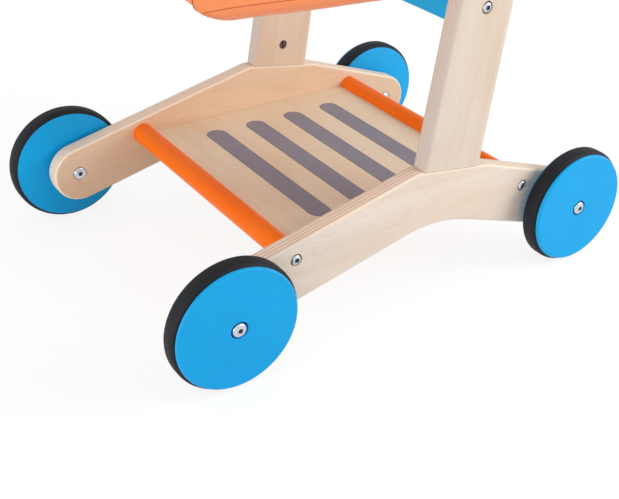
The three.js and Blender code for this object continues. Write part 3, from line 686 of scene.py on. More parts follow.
class Layout:
    """A Geometry Nodes tree that sets out a piece, with named inputs for its sizes."""

    def __init__(self, name, **inputs):
        self.tree = bpy.data.node_groups.new(name, "GeometryNodeTree")
        self.tree.interface.new_socket("Geometry", in_out="INPUT", socket_type="NodeSocketGeometry")
        for label, kind in inputs.items():
            self.tree.interface.new_socket(label, in_out="INPUT", socket_type="NodeSocket" + kind)
        self.tree.interface.new_socket("Geometry", in_out="OUTPUT", socket_type="NodeSocketGeometry")
        self.given = self.tree.nodes.new("NodeGroupInput").outputs

    def node(self, kind, settings={}, inputs={}, output=0):
        made = self.tree.nodes.new(kind)
        for name, value in settings.items():
            setattr(made, name, value)
        for name, value in inputs.items():
            if isinstance(value, bpy.types.NodeSocket):
                self.tree.links.new(value, made.inputs[name])
            else:
                made.inputs[name].default_value = value
        return made.outputs[output]

    def ends_with(self, instances):
        """Makes the instances real, gives them their finish and hands them out."""
        real = self.node("GeometryNodeRealizeInstances", {}, {0: instances})
        done = self.node("GeometryNodeSetMaterial", {}, {"Geometry": real, "Material": self.given["Finish"]})
        self.tree.links.new(done, self.tree.nodes.new("NodeGroupOutput").inputs[0])

    def run(self, mesh, **values):
        """The mesh that the tree makes from another one."""
        carrier = placed("layout", mesh)
        modifier = carrier.modifiers.new("layout", "NODES")
        modifier.node_group = self.tree
        for item in self.tree.interface.items_tree:
            if item.in_out == "INPUT" and item.name in values:
                modifier[item.identifier] = values[item.name]
        ready = carrier.evaluated_get(bpy.context.evaluated_depsgraph_get())
        made = bpy.data.meshes.new_from_object(ready)
        carrier.modifiers.remove(modifier)
        bpy.data.objects.remove(carrier)
        return made


row = Layout("row", Count="Int", Pitch="Vector", Finish="Material")
line = row.node("GeometryNodeMeshLine", {}, {"Count": row.given["Count"], "Offset": row.given["Pitch"]})
strips = row.node("GeometryNodeInstanceOnPoints", {}, {"Points": line, "Instance": row.given["Geometry"]})
row.ends_with(strips)
one_strip = stadium(strip_length, strip_width, deck_top - strip_recess + seat_gap,
                    deck_top + strip_proud, edge_round=strip_round)
strip_row = row.run(one_strip, Count=strip_count, Pitch=(0.0, strip_pitch, 0.0), Finish=grip.material)
strip_row.transform(Matrix.Translation((0, first_strip, 0)))
piece("grip_strips", strip_row, grip, [f"grip_strip_{i + 1}" for i in range(strip_count)])


# Rods and handle
# Turned beech rods, sprayed satin orange. Their ends sit in blind sockets of the side plates or
# posts, each is bored for a bolt, and the two at the deck are slotted along its edge.
orange = Finish("orange_paint", Specular_IOR_Level=0.12)
under_grain = orange.grain((12.0, 500.0, 500.0))
tone = orange.grain(18.0)
spray = orange.grain(1100.0, detail=1.0)
orange.set(Base_Color=orange.mix(tone.rise(0.3, 0.7) * 0.5 + under_grain * 0.3,
                                 colour(255, 122, 18), colour(254, 108, 12)),
           Roughness=0.34 + spray * 0.08 + under_grain * 0.06)
orange.emboss(under_grain * 0.7 + spray * 0.3, 0.04 * mm)


def cross_rod(radius, edge=0.8 * mm, bored=30 * mm):
    """A rod from socket to socket with softened ends, bored for a bolt at each end."""
    end = inner_face + socket_depth - seat_gap
    profile = [(-end, radius - edge), (-end + edge, radius), (end - edge, radius), (end, radius - edge)]
    bores = [pin(bolt_radius + fit, end - bored, end + overrun),
             pin(bolt_radius + fit, -end - overrun, -end + bored)]
    return carve(turned(profile, 96), bores)


for end, to_deck in (("front", 1), ("rear", -1)):
    rod = cross_rod(rod_radius)
    rod.transform(Matrix.Translation((0, rod_places[end], rod_height)))
    slot_from, slot_to = sorted((rod_places[end] + to_deck * (rod_radius - slot_depth),
                                 rod_places[end] + to_deck * (rod_radius + overrun)))
    slot = block((-outer_face, slot_from, deck_top - deck_thickness - fit / 2),
                 (outer_face, slot_to, deck_top + fit / 2))
    piece(f"{end}_cross_rod", carve(rod, [slot]), orange, [f"{end}_rod"])
handle_mesh = cross_rod(handle_radius)
handle_mesh.transform(Matrix.Translation((0, 0, post_up)))
piece("push_handle", from_foot(handle_mesh), orange, ["handle"])


# Wheels
# Four discs of solid wood in satin blue, each with a black rubber ring in a groove round its rim.
# They turn on a sleeve nut, and a black nylon spacer keeps them off the side plate.
disc_radius = 56.8 * mm
wheel_thickness = 22 * mm
wheel_gap = 6 * mm
wheel_face = outer_face + wheel_gap
disc_round, face_margin = 2.4 * mm, 0.5 * mm
tyre_seat = 54 * mm
ground_gap = 0.02 * mm
tyre_radius = axle_height - ground_gap
tyre_from, tyre_to = 0.9 * mm, 19 * mm
tyre_round = 5.5 * mm
flange_radius = 56 * mm
flange_edge = 0.05 * mm
recess_radius = axle_head_radius + 1 * mm
recess_edge = 0.3 * mm
spacer_radius = 11 * mm
spacer_edge = 0.5 * mm
spacer_width = wheel_gap - fit


def blue_paint(name, thin, thick):
    """Satin paint on wood, between two tones, with a little of the grain showing through."""
    paint = Finish(name, Specular_IOR_Level=0.22)
    under_grain = paint.grain((300.0, 14.0, 300.0))
    tone = paint.grain(16.0)
    spray = paint.grain(1000.0, detail=1.0)
    share = tone.rise(0.3, 0.7) * 0.5 + under_grain * 0.35
    paint.set(Base_Color=paint.mix(share, colour(*thin), colour(*thick)))
    paint.set(Roughness=0.4 + spray * 0.08 + under_grain * 0.05)
    paint.emboss(under_grain * 0.5 + spray * 0.5, 0.05 * mm)
    return paint


blue = blue_paint("wheel_paint", (10, 171, 234), (8, 162, 226))

rubber = Finish("black_rubber", Specular_IOR_Level=0.3)
dust = rubber.grain(60.0, detail=4.0)
skin_grain = rubber.grain(1500.0)
rubber.set(Base_Color=rubber.mix(dust.rise(0.4, 0.8) * 0.5, colour(12, 15, 23), colour(36, 40, 50)))
rubber.set(Roughness=0.52 + dust * 0.2 + skin_grain * 0.1)
rubber.emboss(skin_grain * 0.5 + dust * 0.5, 0.12 * mm)

nylon = Finish("black_nylon")
scuff = nylon.grain(700.0, detail=3.0)
nylon.set(Base_Color=nylon.mix(scuff, colour(38, 38, 40), colour(52, 52, 55)))
nylon.set(Roughness=0.42 + scuff * 0.2)


def arc(place, radius, round_over, start, steps=6):
    """A quarter round of a turned profile that ends at one angle, about a middle."""
    angles = [start + (step / steps) * quarter_turn for step in range(steps, -1, -1)]
    return [(place + round_over * math.cos(a), radius + round_over * math.sin(a)) for a in angles]


groove = (tyre_from - fit, tyre_to + fit)
groove_floor = tyre_seat - fit
recess_floor = wheel_thickness - head_recess
ring_floor = recess_floor - ring_depth
disc_mesh = turned([
    (0.0, axle_radius + seat_gap), (0.0, flange_radius - recess_edge),
    (recess_edge / 2, flange_radius - flange_edge), (groove[0], flange_radius),
    (groove[0], groove_floor), (groove[1], groove_floor), (groove[1], disc_radius),
    *arc(wheel_thickness - disc_round, disc_radius - disc_round, disc_round, 0.0),
    (wheel_thickness, disc_radius - disc_round - face_margin),
    (wheel_thickness, recess_radius + recess_edge), (wheel_thickness - recess_edge, recess_radius),
    (ring_floor, recess_radius), (ring_floor, axle_head_radius - ring_inset),
    (recess_floor, axle_head_radius - ring_inset), (recess_floor, axle_radius + seat_gap),
], 160, closed=True)
tyre_mesh = turned([
    (tyre_from, tyre_seat), *arc(tyre_from + tyre_round, tyre_radius - tyre_round, tyre_round, quarter_turn),
    *arc(tyre_to - tyre_round, tyre_radius - tyre_round, tyre_round, 0.0), (tyre_to, tyre_seat),
], 160, closed=True)
spacer_mesh = turned([
    (0.0, axle_radius + fit), (0.0, spacer_radius - spacer_edge), (spacer_edge, spacer_radius),
    (spacer_width - spacer_edge, spacer_radius), (spacer_width, spacer_radius - spacer_edge),
    (spacer_width, axle_radius + fit),
], 64, closed=True)
for end, (y, z) in zip(rod_places, axle_spots):
    for side in ("left", "right"):
        wheel = f"{end}_{side}"
        for part, node, mesh, face, finish, slot, body in (
            ("disc", "wheel", disc_mesh, wheel_face, blue, "blue_paint", f"{wheel}_roller"),
            ("ring", "tyre", tyre_mesh, wheel_face, rubber, "tyre_rubber", f"{wheel}_roller"),
            ("washer", "spacer", spacer_mesh, outer_face, nylon, "spacer_nylon", "frame"),
        ):
            shape = mesh.copy()
            shape.transform(Matrix.Translation((face, y, z)))
            shape = shape if side == "left" else mirrored(shape)
            piece(f"{wheel}_{part}", shape, finish, [f"{wheel}_{node}"], body)


# Bolts and nuts
# Zinc-plated button-head bolts with hexagon sockets, sleeve nuts with the same heads inside the
# wheels' axles, and barrel nuts with a screwdriver slot. One of each is made and set out.
steel = Finish("zinc_plate")
smear = steel.grain(160.0, detail=3.0)
brush = steel.grain(2400.0, detail=1.0)
# The socket mark darkens the colour as painted shade in the hex socket, and makes the plating rougher and
# less metallic.
socket_shade_and_dull = steel.node("Attribute", {"attribute_name": "socket_shade_and_dull"}, {}, output="Fac")
plating = steel.mix(smear, colour(214, 220, 228), colour(186, 192, 202))
steel.set(Base_Color=steel.mix(socket_shade_and_dull, plating, colour(92, 96, 108)))
steel.set(Roughness=0.2 + smear * 0.14 + brush * 0.06 + socket_shade_and_dull * 0.3, Metallic=1.0 - socket_shade_and_dull * 0.5)
steel.emboss(brush, 0.01 * mm)


bolt_lengths = {"rod": 41.2 * mm, "cross_board": 52.5 * mm, "rail": 28.3 * mm, "axle": 18 * mm}
thread_depth = 18.5 * mm
head_height = 2.7 * mm
key, key_depth = 4 * mm, 1.8 * mm
bolt_facets = 48
far_out = 100 * mm  # where a cutter starts or ends, outside the piece


def bolt(radius, shank_radius, length):
    """A button-head bolt along X: its seat at x = 0, the head outside and the shank towards -X.
    An attribute marks the hex socket, whose colour is darkened as painted shade and whose plating is made
    rougher and less metallic."""
    rim, mouth = 0.28 * head_height, 0.62 * key
    rounds = [(-length, 0.8 * shank_radius), (-length + 0.8 * mm, shank_radius), (0.0, shank_radius),
              (0.0, radius - 0.25 * mm), (0.25 * mm, radius)]
    dome = [math.radians(a) for a in (0, 14, 28, 42, 56, 66)]
    last = math.cos(dome[-1])
    for a in dome:
        rounds.append((rim + (head_height - rim) * math.sin(a) / math.sin(dome[-1]),
                       mouth + (radius - mouth) * (math.cos(a) - last) / (1 - last)))
    rounds += [(head_height, mouth - 0.1 * mm), (head_height - 0.35 * mm, None),
               (head_height - key_depth, None), (head_height - key_depth - 0.5 * mm, 0.3 * mm)]
    angles = [math.tau * i / bolt_facets for i in range(bolt_facets)]
    sector = math.tau / 6
    hexagon = [key / 2 / math.cos((a % sector) - sector / 2) for a in angles]
    rings = [(x, hexagon if r is None else [r] * bolt_facets) for x, r in rounds]
    mesh = skin([[(x, r * math.cos(a), r * math.sin(a)) for r, a in zip(radii, angles)]
                 for x, radii in rings])
    socket_shading = mesh.attributes.new("socket_shade_and_dull", "FLOAT", "POINT")
    socket_from = bolt_facets * (len(rings) - 3)
    socket_shading.data.foreach_set("value", [float(i >= socket_from) for i in range(len(mesh.vertices))])
    return mesh


def barrel_nut(length=14 * mm, edge=0.4 * mm, deep=1.4 * mm, half_width=0.8 * mm):
    """A barrel nut along X with a slotted face at x = 0 and its thread across the middle."""
    body = turned([(-length, nut_radius - edge), (-length + edge, nut_radius),
                   (-edge, nut_radius), (0.0, nut_radius - edge)], 48)
    slot = block((-deep, -half_width, -overrun), (overrun, half_width, overrun))
    thread = pin(bolt_radius, -overrun, overrun)
    thread.transform(Matrix.Translation((-length / 2 - edge, 0, 0)) @ Matrix.Rotation(quarter_turn, 4, "Y"))
    return carve(body, [slot, thread])


at_places = Layout("at_places", Piece="Object", Finish="Material")
shape = at_places.node("GeometryNodeObjectInfo", {}, {"Object": at_places.given["Piece"]}, output="Geometry")
stored = at_places.node("GeometryNodeInputNamedAttribute", {"data_type": "FLOAT_VECTOR"}, {"Name": "turn"})
turns = at_places.node("FunctionNodeEulerToRotation", {}, {0: stored})
at_places.ends_with(at_places.node(
    "GeometryNodeInstanceOnPoints", {},
    {"Points": at_places.given["Geometry"], "Instance": shape, "Rotation": turns}))


def set_out(name, one, places, finish, nodes, body="frame"):
    """Copies of one mesh at places of (point, (x, y, z) turn), joined into one piece."""
    points = bpy.data.meshes.new("places")
    points.from_pydata([point for point, _ in places], [], [])
    attribute = points.attributes.new("turn", "FLOAT_VECTOR", "POINT")
    attribute.data.foreach_set("vector", [value for _, angles in places for value in angles])
    source = placed("source", one)
    made = at_places.run(points, Piece=source, Finish=finish.material)
    bpy.data.objects.remove(source)
    return piece(name, made, finish, nodes, body)


spins = random.Random(7)
outwards = {"left": (1, 0.0), "right": (-1, math.pi)}


def both_sides(depth, spots, facing=1, spin=None):
    """Places on both sides for (y, z) spots, at a distance from the middle plane."""
    places = []
    for y, z in spots:
        for side, half_turn in outwards.values():
            own_spin = spins.uniform(0, math.tau) if spin is None else spin * side * facing
            turned_round = half_turn if facing > 0 else math.pi - half_turn
            places.append(((side * depth, y, z), (own_spin, 0.0, turned_round)))
    return places


def up_post(up):
    """The (y, z) spot at a height on the post's middle line."""
    point = on_post @ Vector((0, 0, up))
    return point.y, point.z


rod_spots = [(place, rod_height) for place in rod_places.values()]
head_seat = outer_face - head_recess
shown_head = head_radius - ring_inset
shown_axle_head = axle_head_radius - ring_inset
for thing, spots, nodes in (
    ("rod", rod_spots + [up_post(post_up)],
     [f"{bar}_{side}_bolt" for bar in ("front_rod", "rear_rod", "handle") for side in outwards]),
    ("cross_board", [up_post(cross_board_up)], [f"cross_board_{side}_bolt" for side in outwards]),
    ("rail", rail_bolts, [f"{side}_rail_{end}_bolt" for side in outwards for end in rod_places]),
):
    set_out(f"{thing}_bolts", bolt(shown_head, bolt_radius, bolt_lengths[thing]),
            both_sides(head_seat, spots), steel, nodes)
axle_seat = wheel_face + wheel_thickness - head_recess + fit + seat_gap
nut_seat = inner_face + head_recess
set_out("axle_bolts", bolt(shown_axle_head, bolt_radius, bolt_lengths["axle"]),
        both_sides(axle_seat, axle_spots), steel,
        [f"{end}_{side}_axle_bolt" for end in rod_places for side in outwards])
sleeve = bolt(shown_axle_head, axle_radius, axle_seat - nut_seat - seat_gap)
sleeve_end = nut_seat - axle_seat
sleeve = carve(sleeve, [pin(bolt_radius + fit, -far_out, sleeve_end + thread_depth)])
set_out("axle_nuts", sleeve, both_sides(nut_seat, axle_spots, facing=-1), steel,
        [f"{end}_{side}_axle_nut" for end in rod_places for side in outwards])
# The barrel nuts get a darker, browner grey than the bolts, mottled by a soft noise.
dark_steel = Finish("darker_zinc", Metallic=0.8)
nut_mottle = dark_steel.grain(500.0, detail=3.0)
dark_steel.set(Base_Color=dark_steel.mix(nut_mottle, colour(118, 108, 104), colour(92, 84, 82)))
dark_steel.set(Roughness=0.38 + nut_mottle * 0.2)
dark_steel.emboss(nut_mottle, 0.02 * mm)
set_out("post_nuts", barrel_nut(),
        both_sides(inner_face + nut_inside, [up_post(nut_up)], facing=-1, spin=post_lean), dark_steel,
        [f"{side}_post_nut" for side in outwards])
for side in outwards:
    inside = {f"{side}_post_{end}_dowel": dowel_wood for end in rod_places}
    inside[f"{side}_post_bolt"] = steel
    for name, finish in inside.items():
        dressed(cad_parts[name].data, finish)


# Cross board
# A blue board that leans with the posts and keeps them apart below the basket. A bolt through
# each post runs into a slotted barrel nut in its rear face.
cross_half = inner_face - seat_gap
half_thick, half_wide = 9 * mm, 23 * mm
cross_corner, cross_edge = 3 * mm, 0.3 * mm
cross_nut_in, cross_bore = 30 * mm, 36.3 * mm
cross_nut_floor = 5.8 * mm + 1.0 * mm


def cornered(low, high, corner_round):
    """A rectangle from corner to corner with equal round corners."""
    corners = [low, (high[0], low[1]), high, (low[0], high[1])]
    return rounded([(x, y, corner_round) for x, y in corners])


cross_outline = cornered((-half_thick, -half_wide), (half_thick, half_wide), cross_corner)
cross_cuts = []
for side in (-1, 1):
    ends = sorted((side * (inner_face - cross_bore), side * (inner_face + overrun)))
    nut_hole = pin(nut_hole_radius, -cross_nut_floor, far_out)
    nut_hole.transform(Matrix.Translation((side * (inner_face - cross_nut_in), 0, 0))
                       @ Matrix.Rotation(quarter_turn, 4, "Z"))
    cross_cuts += [pin(bolt_radius + fit, *ends), nut_hole]
cross_mesh = carve(board(cross_outline, -cross_half, cross_half, cross_edge), cross_cuts)
cross_mesh.transform(Matrix.Translation((0, 0, cross_board_up)))
# A paler, lighter copy of the wheels' blue paint: painted light and a painted whitish sheen for the board
# under the basket, also used on the rails.
blue_with_painted_light = blue_paint("board_paint_lightened", (30, 178, 238), (24, 169, 230))
piece("cross_bar", from_foot(cross_mesh), blue_with_painted_light, ["cross_board"])
nut_face = on_post @ Vector((0, half_thick - nut_inside, cross_board_up))
nut_turn = on_post.to_3x3() @ Matrix.Rotation(quarter_turn, 3, "Z") @ Matrix.Rotation(quarter_turn, 3, "X")
nut_places = [((side * (inner_face - cross_nut_in), nut_face.y, nut_face.z), tuple(nut_turn.to_euler()))
              for side in (-1, 1)]
set_out("cross_board_nuts", barrel_nut(), nut_places, dark_steel,
        [f"cross_board_{side}_nut" for side in outwards])


# Rim
# Two side rails of 12 mm birch plywood bolted to the posts' inner faces, and a blue front and rear
# rail tenoned into them. Together they hold the basket's mouth open.
rail_half = 18 * mm
rail_thickness = 12 * mm
rim_top = rim_height + rail_half
rim_up = (rim_height - rail_half - foot.y) / math.cos(post_lean)
post_half_there = (post_width + rim_up / post_length * (post_top_width - post_width)) / 2
rear_rail_gap = 6.5 * mm
basket_length = 236 * mm
rail_corner, rail_edge, bar_edge = 12 * mm, 2 * mm, 1.5 * mm
past_front_rail, past_post = 8 * mm, 27 * mm
tenon_half, tenon_length = 10 * mm, 6 * mm
tenon_play, mortise_play = 0.15 * mm, 0.3 * mm
post_front_there = foot.x + rim_up * math.sin(post_lean) - post_half_there / math.cos(post_lean)
rim_back = post_front_there - rear_rail_gap - rail_thickness
rim_front = rim_back - basket_length
rail_inner, rail_outer = inner_face - rail_thickness - seat_gap, inner_face - seat_gap
rail_wood = plywood("birch_rail", rail_inner, rail_outer, 9, seed=5.1)
rail_outline = cornered((rim_front - rail_thickness - past_front_rail, rim_height - rail_half),
                        (post_at_rim + past_post, rim_height + rail_half), rail_corner)
rail_cuts = [pin(bolt_radius + fit, rail_inner - overrun, inner_face + overrun, y, z) for y, z in rail_bolts]
mortise_half = tenon_half + tenon_play
mortise_end = rail_inner + tenon_length + mortise_play
for front in (rim_front - rail_thickness, rim_back):
    rail_cuts.append(block((rail_inner - overrun, front - tenon_play, rim_height - mortise_half),
                           (mortise_end, front + rail_thickness + tenon_play, rim_height + mortise_half)))
left_rail = carve(board(rail_outline, rail_inner, rail_outer, rail_edge), rail_cuts)
both_boards("rim_rail", left_rail, rail_wood, "rail")

shoulder = rail_inner - seat_gap
tenon_end = shoulder + tenon_length
half_bar = [(shoulder, -rail_half), (shoulder, -tenon_half), (tenon_end, -tenon_half),
            (tenon_end, tenon_half), (shoulder, tenon_half), (shoulder, rail_half)]
bar_outline = [(-shoulder, -rail_half)] + half_bar + [(-x, z) for x, z in reversed(half_bar[1:])]
for name, front in (("front_rail", rim_front - rail_thickness), ("rear_rail", rim_back)):
    rings = [[(x, y, rim_height + z) for x, z in bar_outline] for y in (front, front + rail_thickness)]
    bar = piece(f"{name}_bar", skin(rings), blue_with_painted_light, [name])
    soften = bar.modifiers.new("soften", "BEVEL")
    soften.width = bar_edge
    soften.segments = 4
    soften.harden_normals = True


# Basket
# Orange canvas: two side panels with round lower corners, and one long strip sewn round them that
# makes the front, the sagging bottom and the rear. Its mouth is bound and snapped to the rails.
half_mouth = rail_inner - fit
front_wall = rim_front + fit
rear_wall = rim_back - fit
seam_height = rim_top - 134 * mm
rail_bottom = rim_top - 2 * rail_half
corner_round = 12 * mm
lean_in = 2.5 * mm
draw_in = 1.9 * mm
sag = 18.5 * mm
belly = 0.4 * mm
slack_round = 41 * mm
seam_lift = 3.6 * mm
seam_tilt = 10.9 * mm
seam_droop = 2.7 * mm
droop_share = 0.25
cloth_thickness = 1.3 * mm
seam_reach = 3.2 * mm
seam_sink = 1.1 * mm
bulge_out = 1.2 * mm
loose_below = 20 * mm
strip_loose, strip_ease, strip_ripple = 30 * mm, 0.5 * mm, 1.1 * mm
panel_loose, panel_ease, panel_ripple = 25 * mm, 0.8 * mm, 1.3 * mm

canvas = Finish("orange_canvas", Roughness=0.9, Sheen_Weight=0.25, Sheen_Roughness=0.4,
                Specular_IOR_Level=0.25)
weave_place = canvas.node("UVMap", {"uv_map": "cloth"})
u = canvas.node("SeparateXYZ", {}, {0: weave_place}, output=0)
v = canvas.node("SeparateXYZ", {}, {0: weave_place}, output=1)
yarn = 0.75 * mm
slub_u = canvas.cloud(u * 30.0, v * 900.0, 1.0, detail=2.0)
slub_v = canvas.cloud(u * 900.0, v * 30.0, 5.0, detail=2.0)
warp = (u * (math.tau / yarn / 2)).wave()
weft = (v * (math.tau / yarn / 2)).wave()
weave = warp * weft * 0.5 + 0.5
patch = canvas.cloud(u * 9.0, v * 9.0, 2.0, detail=3.0)
fuzz = canvas.cloud(u * 1700.0, v * 1700.0, 3.0, detail=2.0)
base = canvas.mix(slub_u * 0.5 + slub_v * 0.5, colour(255, 152, 96), colour(254, 142, 84))
base = canvas.mix(weave * 0.3 + patch.rise(0.35, 0.75) * 0.15, base, colour(255, 160, 112))
canvas.set(Base_Color=canvas.mix(fuzz.rise(0.55, 0.8) * 0.2, base, colour(255, 178, 138)))
canvas.emboss(weave * 0.7 + slub_u * 0.25 + slub_v * 0.25 + fuzz * 0.2, 0.16 * mm)


def spaced(length, pitch, fine=(0.0, 0.5, 1.1, 1.9, 3.2)):
    """Distances across a panel, close together beside its two seams."""
    ends = [f * mm for f in fine]
    inside = length - 2 * ends[-1]
    count = max(2, round(inside / pitch))
    middle = [ends[-1] + inside * i / count for i in range(count + 1)]
    return ends[:-1] + middle + [length - e for e in reversed(ends[:-1])]


def clamped(value):
    """A value kept between 0 and 1."""
    return min(max(value, 0.0), 1.0)


def descent(z, low=seam_height):
    """0 at the rails' lower edge and above it, 1 at a low height."""
    return clamped((rail_bottom - z) / (rail_bottom - low))


def panel_side(z):
    """How far the side panel's cloth is from the middle plane, at a height."""
    return half_mouth - lean_in * descent(z)


def hung(y, z):
    """A height once the cloth hangs: its bottom seam is lower at the rear, and droops at the front."""
    along = clamped((y - front_wall) / (rear_wall - front_wall))
    droop = seam_droop * max(0.0, 1 - along / droop_share) ** 2
    return z + descent(z) * (seam_lift - seam_tilt * along - droop)


def strip_path(share):
    """Points and inward directions in the YZ plane down the front, along the bottom and up the
    rear, at a share of the half width. Off the side seams the bottom hangs lower, and its front
    and rear corners are wider."""
    drop = 1 - abs(share) ** 4
    slack = 1 - abs(share) ** 12
    inward = lean_in + draw_in * drop
    radius = corner_round + slack_round * slack
    bottom = seam_height - sag * slack
    low = bottom + radius
    wall_rows, arc_steps, bottom_rows = 26, 14, 44

    def wall(y_top, sign):
        for i in range(wall_rows + 1):
            z = rim_top + (low - rim_top) * i / wall_rows
            down = descent(z, low)
            bulge = math.sin(down * math.pi) * bulge_out * drop
            yield Vector((y_top + sign * (inward * down - bulge), z)), Vector((sign, 0.0))

    def corner(sign, y_wall, step):
        a = (step / arc_steps) * quarter_turn
        spoke = Vector((-sign * math.cos(a), -math.sin(a)))
        return Vector((y_wall + sign * radius, low)) + spoke * radius, -spoke

    front, rear = front_wall + inward, rear_wall - inward
    path = list(wall(front_wall, 1)) + [corner(1, front, step) for step in range(1, arc_steps + 1)]
    for i in range(1, bottom_rows):
        along = i / bottom_rows
        y = front + radius + along * (rear - front - 2 * radius)
        z = bottom - belly * slack * math.sin(along * math.pi) ** 2
        path.append((Vector((y, z)), Vector((0.0, 1.0))))
    path += [corner(-1, rear, step) for step in range(arc_steps, 0, -1)]
    path += list(wall(rear_wall, -1))[::-1]
    return [(Vector((point.x, hung(*point))), inwards) for point, inwards in path]


def ripple(point, strength):
    """Slight unevenness of hanging cloth, the same on every run."""
    slow = noise.noise(Vector((point.x * 22, point.y * 22, point.z * 9)))
    quick = noise.noise(Vector((point.x * 55 + 7, point.y * 55, point.z * 30)))
    return strength * (slow + 0.35 * quick)


def sink(distance):
    """How much of the seam's ditch is left at a distance from the seam."""
    near = max(0.0, 1 - distance / seam_reach)
    return seam_sink * near ** 2.2


def cloth(name, grid, flat_places):
    """A sheet from a grid of points, with the places that they had in the flat cut as its UV map."""
    sheet = bmesh.new()
    uv = sheet.loops.layers.uv.new("cloth")
    made = [[sheet.verts.new(point) for point in rank] for rank in grid]
    for i in range(len(grid) - 1):
        for j in range(len(grid[0]) - 1):
            face = sheet.faces.new((made[i][j], made[i][j + 1], made[i + 1][j + 1], made[i + 1][j]))
            here, ahead = flat_places[i], flat_places[i + 1]
            for loop, spot in zip(face.loops, (here[j], here[j + 1], ahead[j + 1], ahead[j])):
                loop[uv].uv = spot
    mesh = bpy.data.meshes.new(name)
    sheet.to_mesh(mesh)
    sheet.free()
    return mesh


def facing_out(mesh, middle):
    """Turns a sheet's faces away from the basket's middle."""
    lean = sum((poly.center - middle).dot(poly.normal) * poly.area for poly in mesh.polygons)
    if lean < 0:
        mesh.flip_normals()


basket_middle = Vector((0, (front_wall + rear_wall) / 2, (rim_top + seam_height) / 2))
across_places = spaced(2 * half_mouth, 4.5 * mm, fine=(0.0, 0.5, 1.1, 1.9, 3.2, 4.8, 6.6, 8.8, 11.4, 14.6))
strip_grid, strip_flat = [], []
for across in across_places:
    share = across / half_mouth - 1
    edge_distance = min(across, 2 * half_mouth - across)
    rank, flat_rank, run, before = [], [], 0.0, None
    for row_number, (point, inwards) in enumerate(strip_path(share)):
        x = share * panel_side(point.y)
        where = Vector((x, point.x, point.y))
        run += (where - before).length if before is not None else 0.0
        before = where.copy()
        below_rail = clamped((rail_bottom - where.z) / loose_below)
        free = clamped(edge_distance / strip_loose)
        loose = below_rail * free * (strip_ease + ripple(where, strip_ripple))
        inward_step = sink(edge_distance) + loose
        where += Vector((0, *inwards)) * inward_step
        where.x -= math.copysign(sink(edge_distance), x) * (1 if edge_distance < seam_reach else 0)
        run_across = 0.0
        if strip_grid:
            run_across = strip_flat[-1][row_number][0] + (where - strip_grid[-1][row_number]).length
        rank.append(where)
        flat_rank.append((run_across, run))
    strip_grid.append(rank)
    strip_flat.append(flat_rank)
strip_mesh = cloth("basket_strip", strip_grid, strip_flat)
facing_out(strip_mesh, basket_middle)

heights = []
z = rim_top
while z > seam_height + corner_round + 1e-6:
    heights.append(z)
    z -= 4 * mm
heights += [seam_height + corner_round * (1 - math.sin(math.radians(a))) for a in range(0, 90, 6)]
heights.append(seam_height)
panel_grid, panel_flat = [], []
for z in heights:
    down = descent(z, seam_height + corner_round)
    lift = max(0.0, seam_height + corner_round - z)
    pull = corner_round - math.sqrt(max(0.0, corner_round ** 2 - lift ** 2))
    start = front_wall + lean_in * down + pull
    stop = rear_wall - lean_in * down - pull
    rank, flat_rank = [], []
    for along in spaced(1.0, 0.02, fine=(0, 2, 4.5, 8, 14)):
        y = start + (stop - start) * along
        to_front, to_rear = y - start, stop - y
        to_seam = min(to_front, to_rear, z - seam_height) if z < rail_bottom else min(to_front, to_rear)
        where = Vector((panel_side(z), y, z))
        below_rail = clamped((rail_bottom - z) / loose_below)
        free = clamped(to_seam / panel_loose)
        where.x -= sink(to_seam) + below_rail * free * (panel_ease + ripple(where, panel_ripple))
        towards = Vector((0.0, 0.0))
        if to_seam == z - seam_height and z < rail_bottom:
            towards.y = 1.0
        else:
            towards.x = 1.0 if to_front < to_rear else -1.0
        where.y += towards.x * sink(to_seam)
        where.z = hung(y, z) + towards.y * sink(to_seam)
        rank.append(where)
        flat_rank.append((y - front_wall, rim_top - z))
    panel_grid.append(rank)
    panel_flat.append(flat_rank)
panel_mesh = cloth("basket_panel", panel_grid, panel_flat)
facing_out(panel_mesh, basket_middle)


def thicken(sheet):
    """Gives a sheet of cloth its thickness and rounds its mesh."""
    wall = sheet.modifiers.new("wall", "SOLIDIFY")
    wall.thickness = cloth_thickness
    wall.offset = -1.0
    smooth = sheet.modifiers.new("smooth", "SUBSURF")
    smooth.levels = smooth.render_levels = 1
    return sheet


strip_sheet = thicken(piece("basket_strip", strip_mesh, canvas, ["basket"], crease=math.pi))
left_sheet = thicken(piece("basket_left_panel", panel_mesh, canvas, ["basket"], crease=math.pi))
right_mesh = mirrored(panel_mesh)
right_sheet = thicken(piece("basket_right_panel", right_mesh, canvas, ["basket"], crease=math.pi))

tape_height = 11 * mm
tape_gap = 0.14 * mm
tape_thickness = 2.9 * mm
tape_top = rim_top + 0.3 * mm
tape_low = tape_top - tape_height


def mouth_sides(out):
    """The basket's mouth moved outwards: its four sides, each as two corners."""
    x, front, rear = half_mouth + out, front_wall - out, rear_wall + out
    corners = [(x, front), (x, rear), (-x, rear), (-x, front)]
    return list(zip(corners, corners[1:] + corners[:1]))


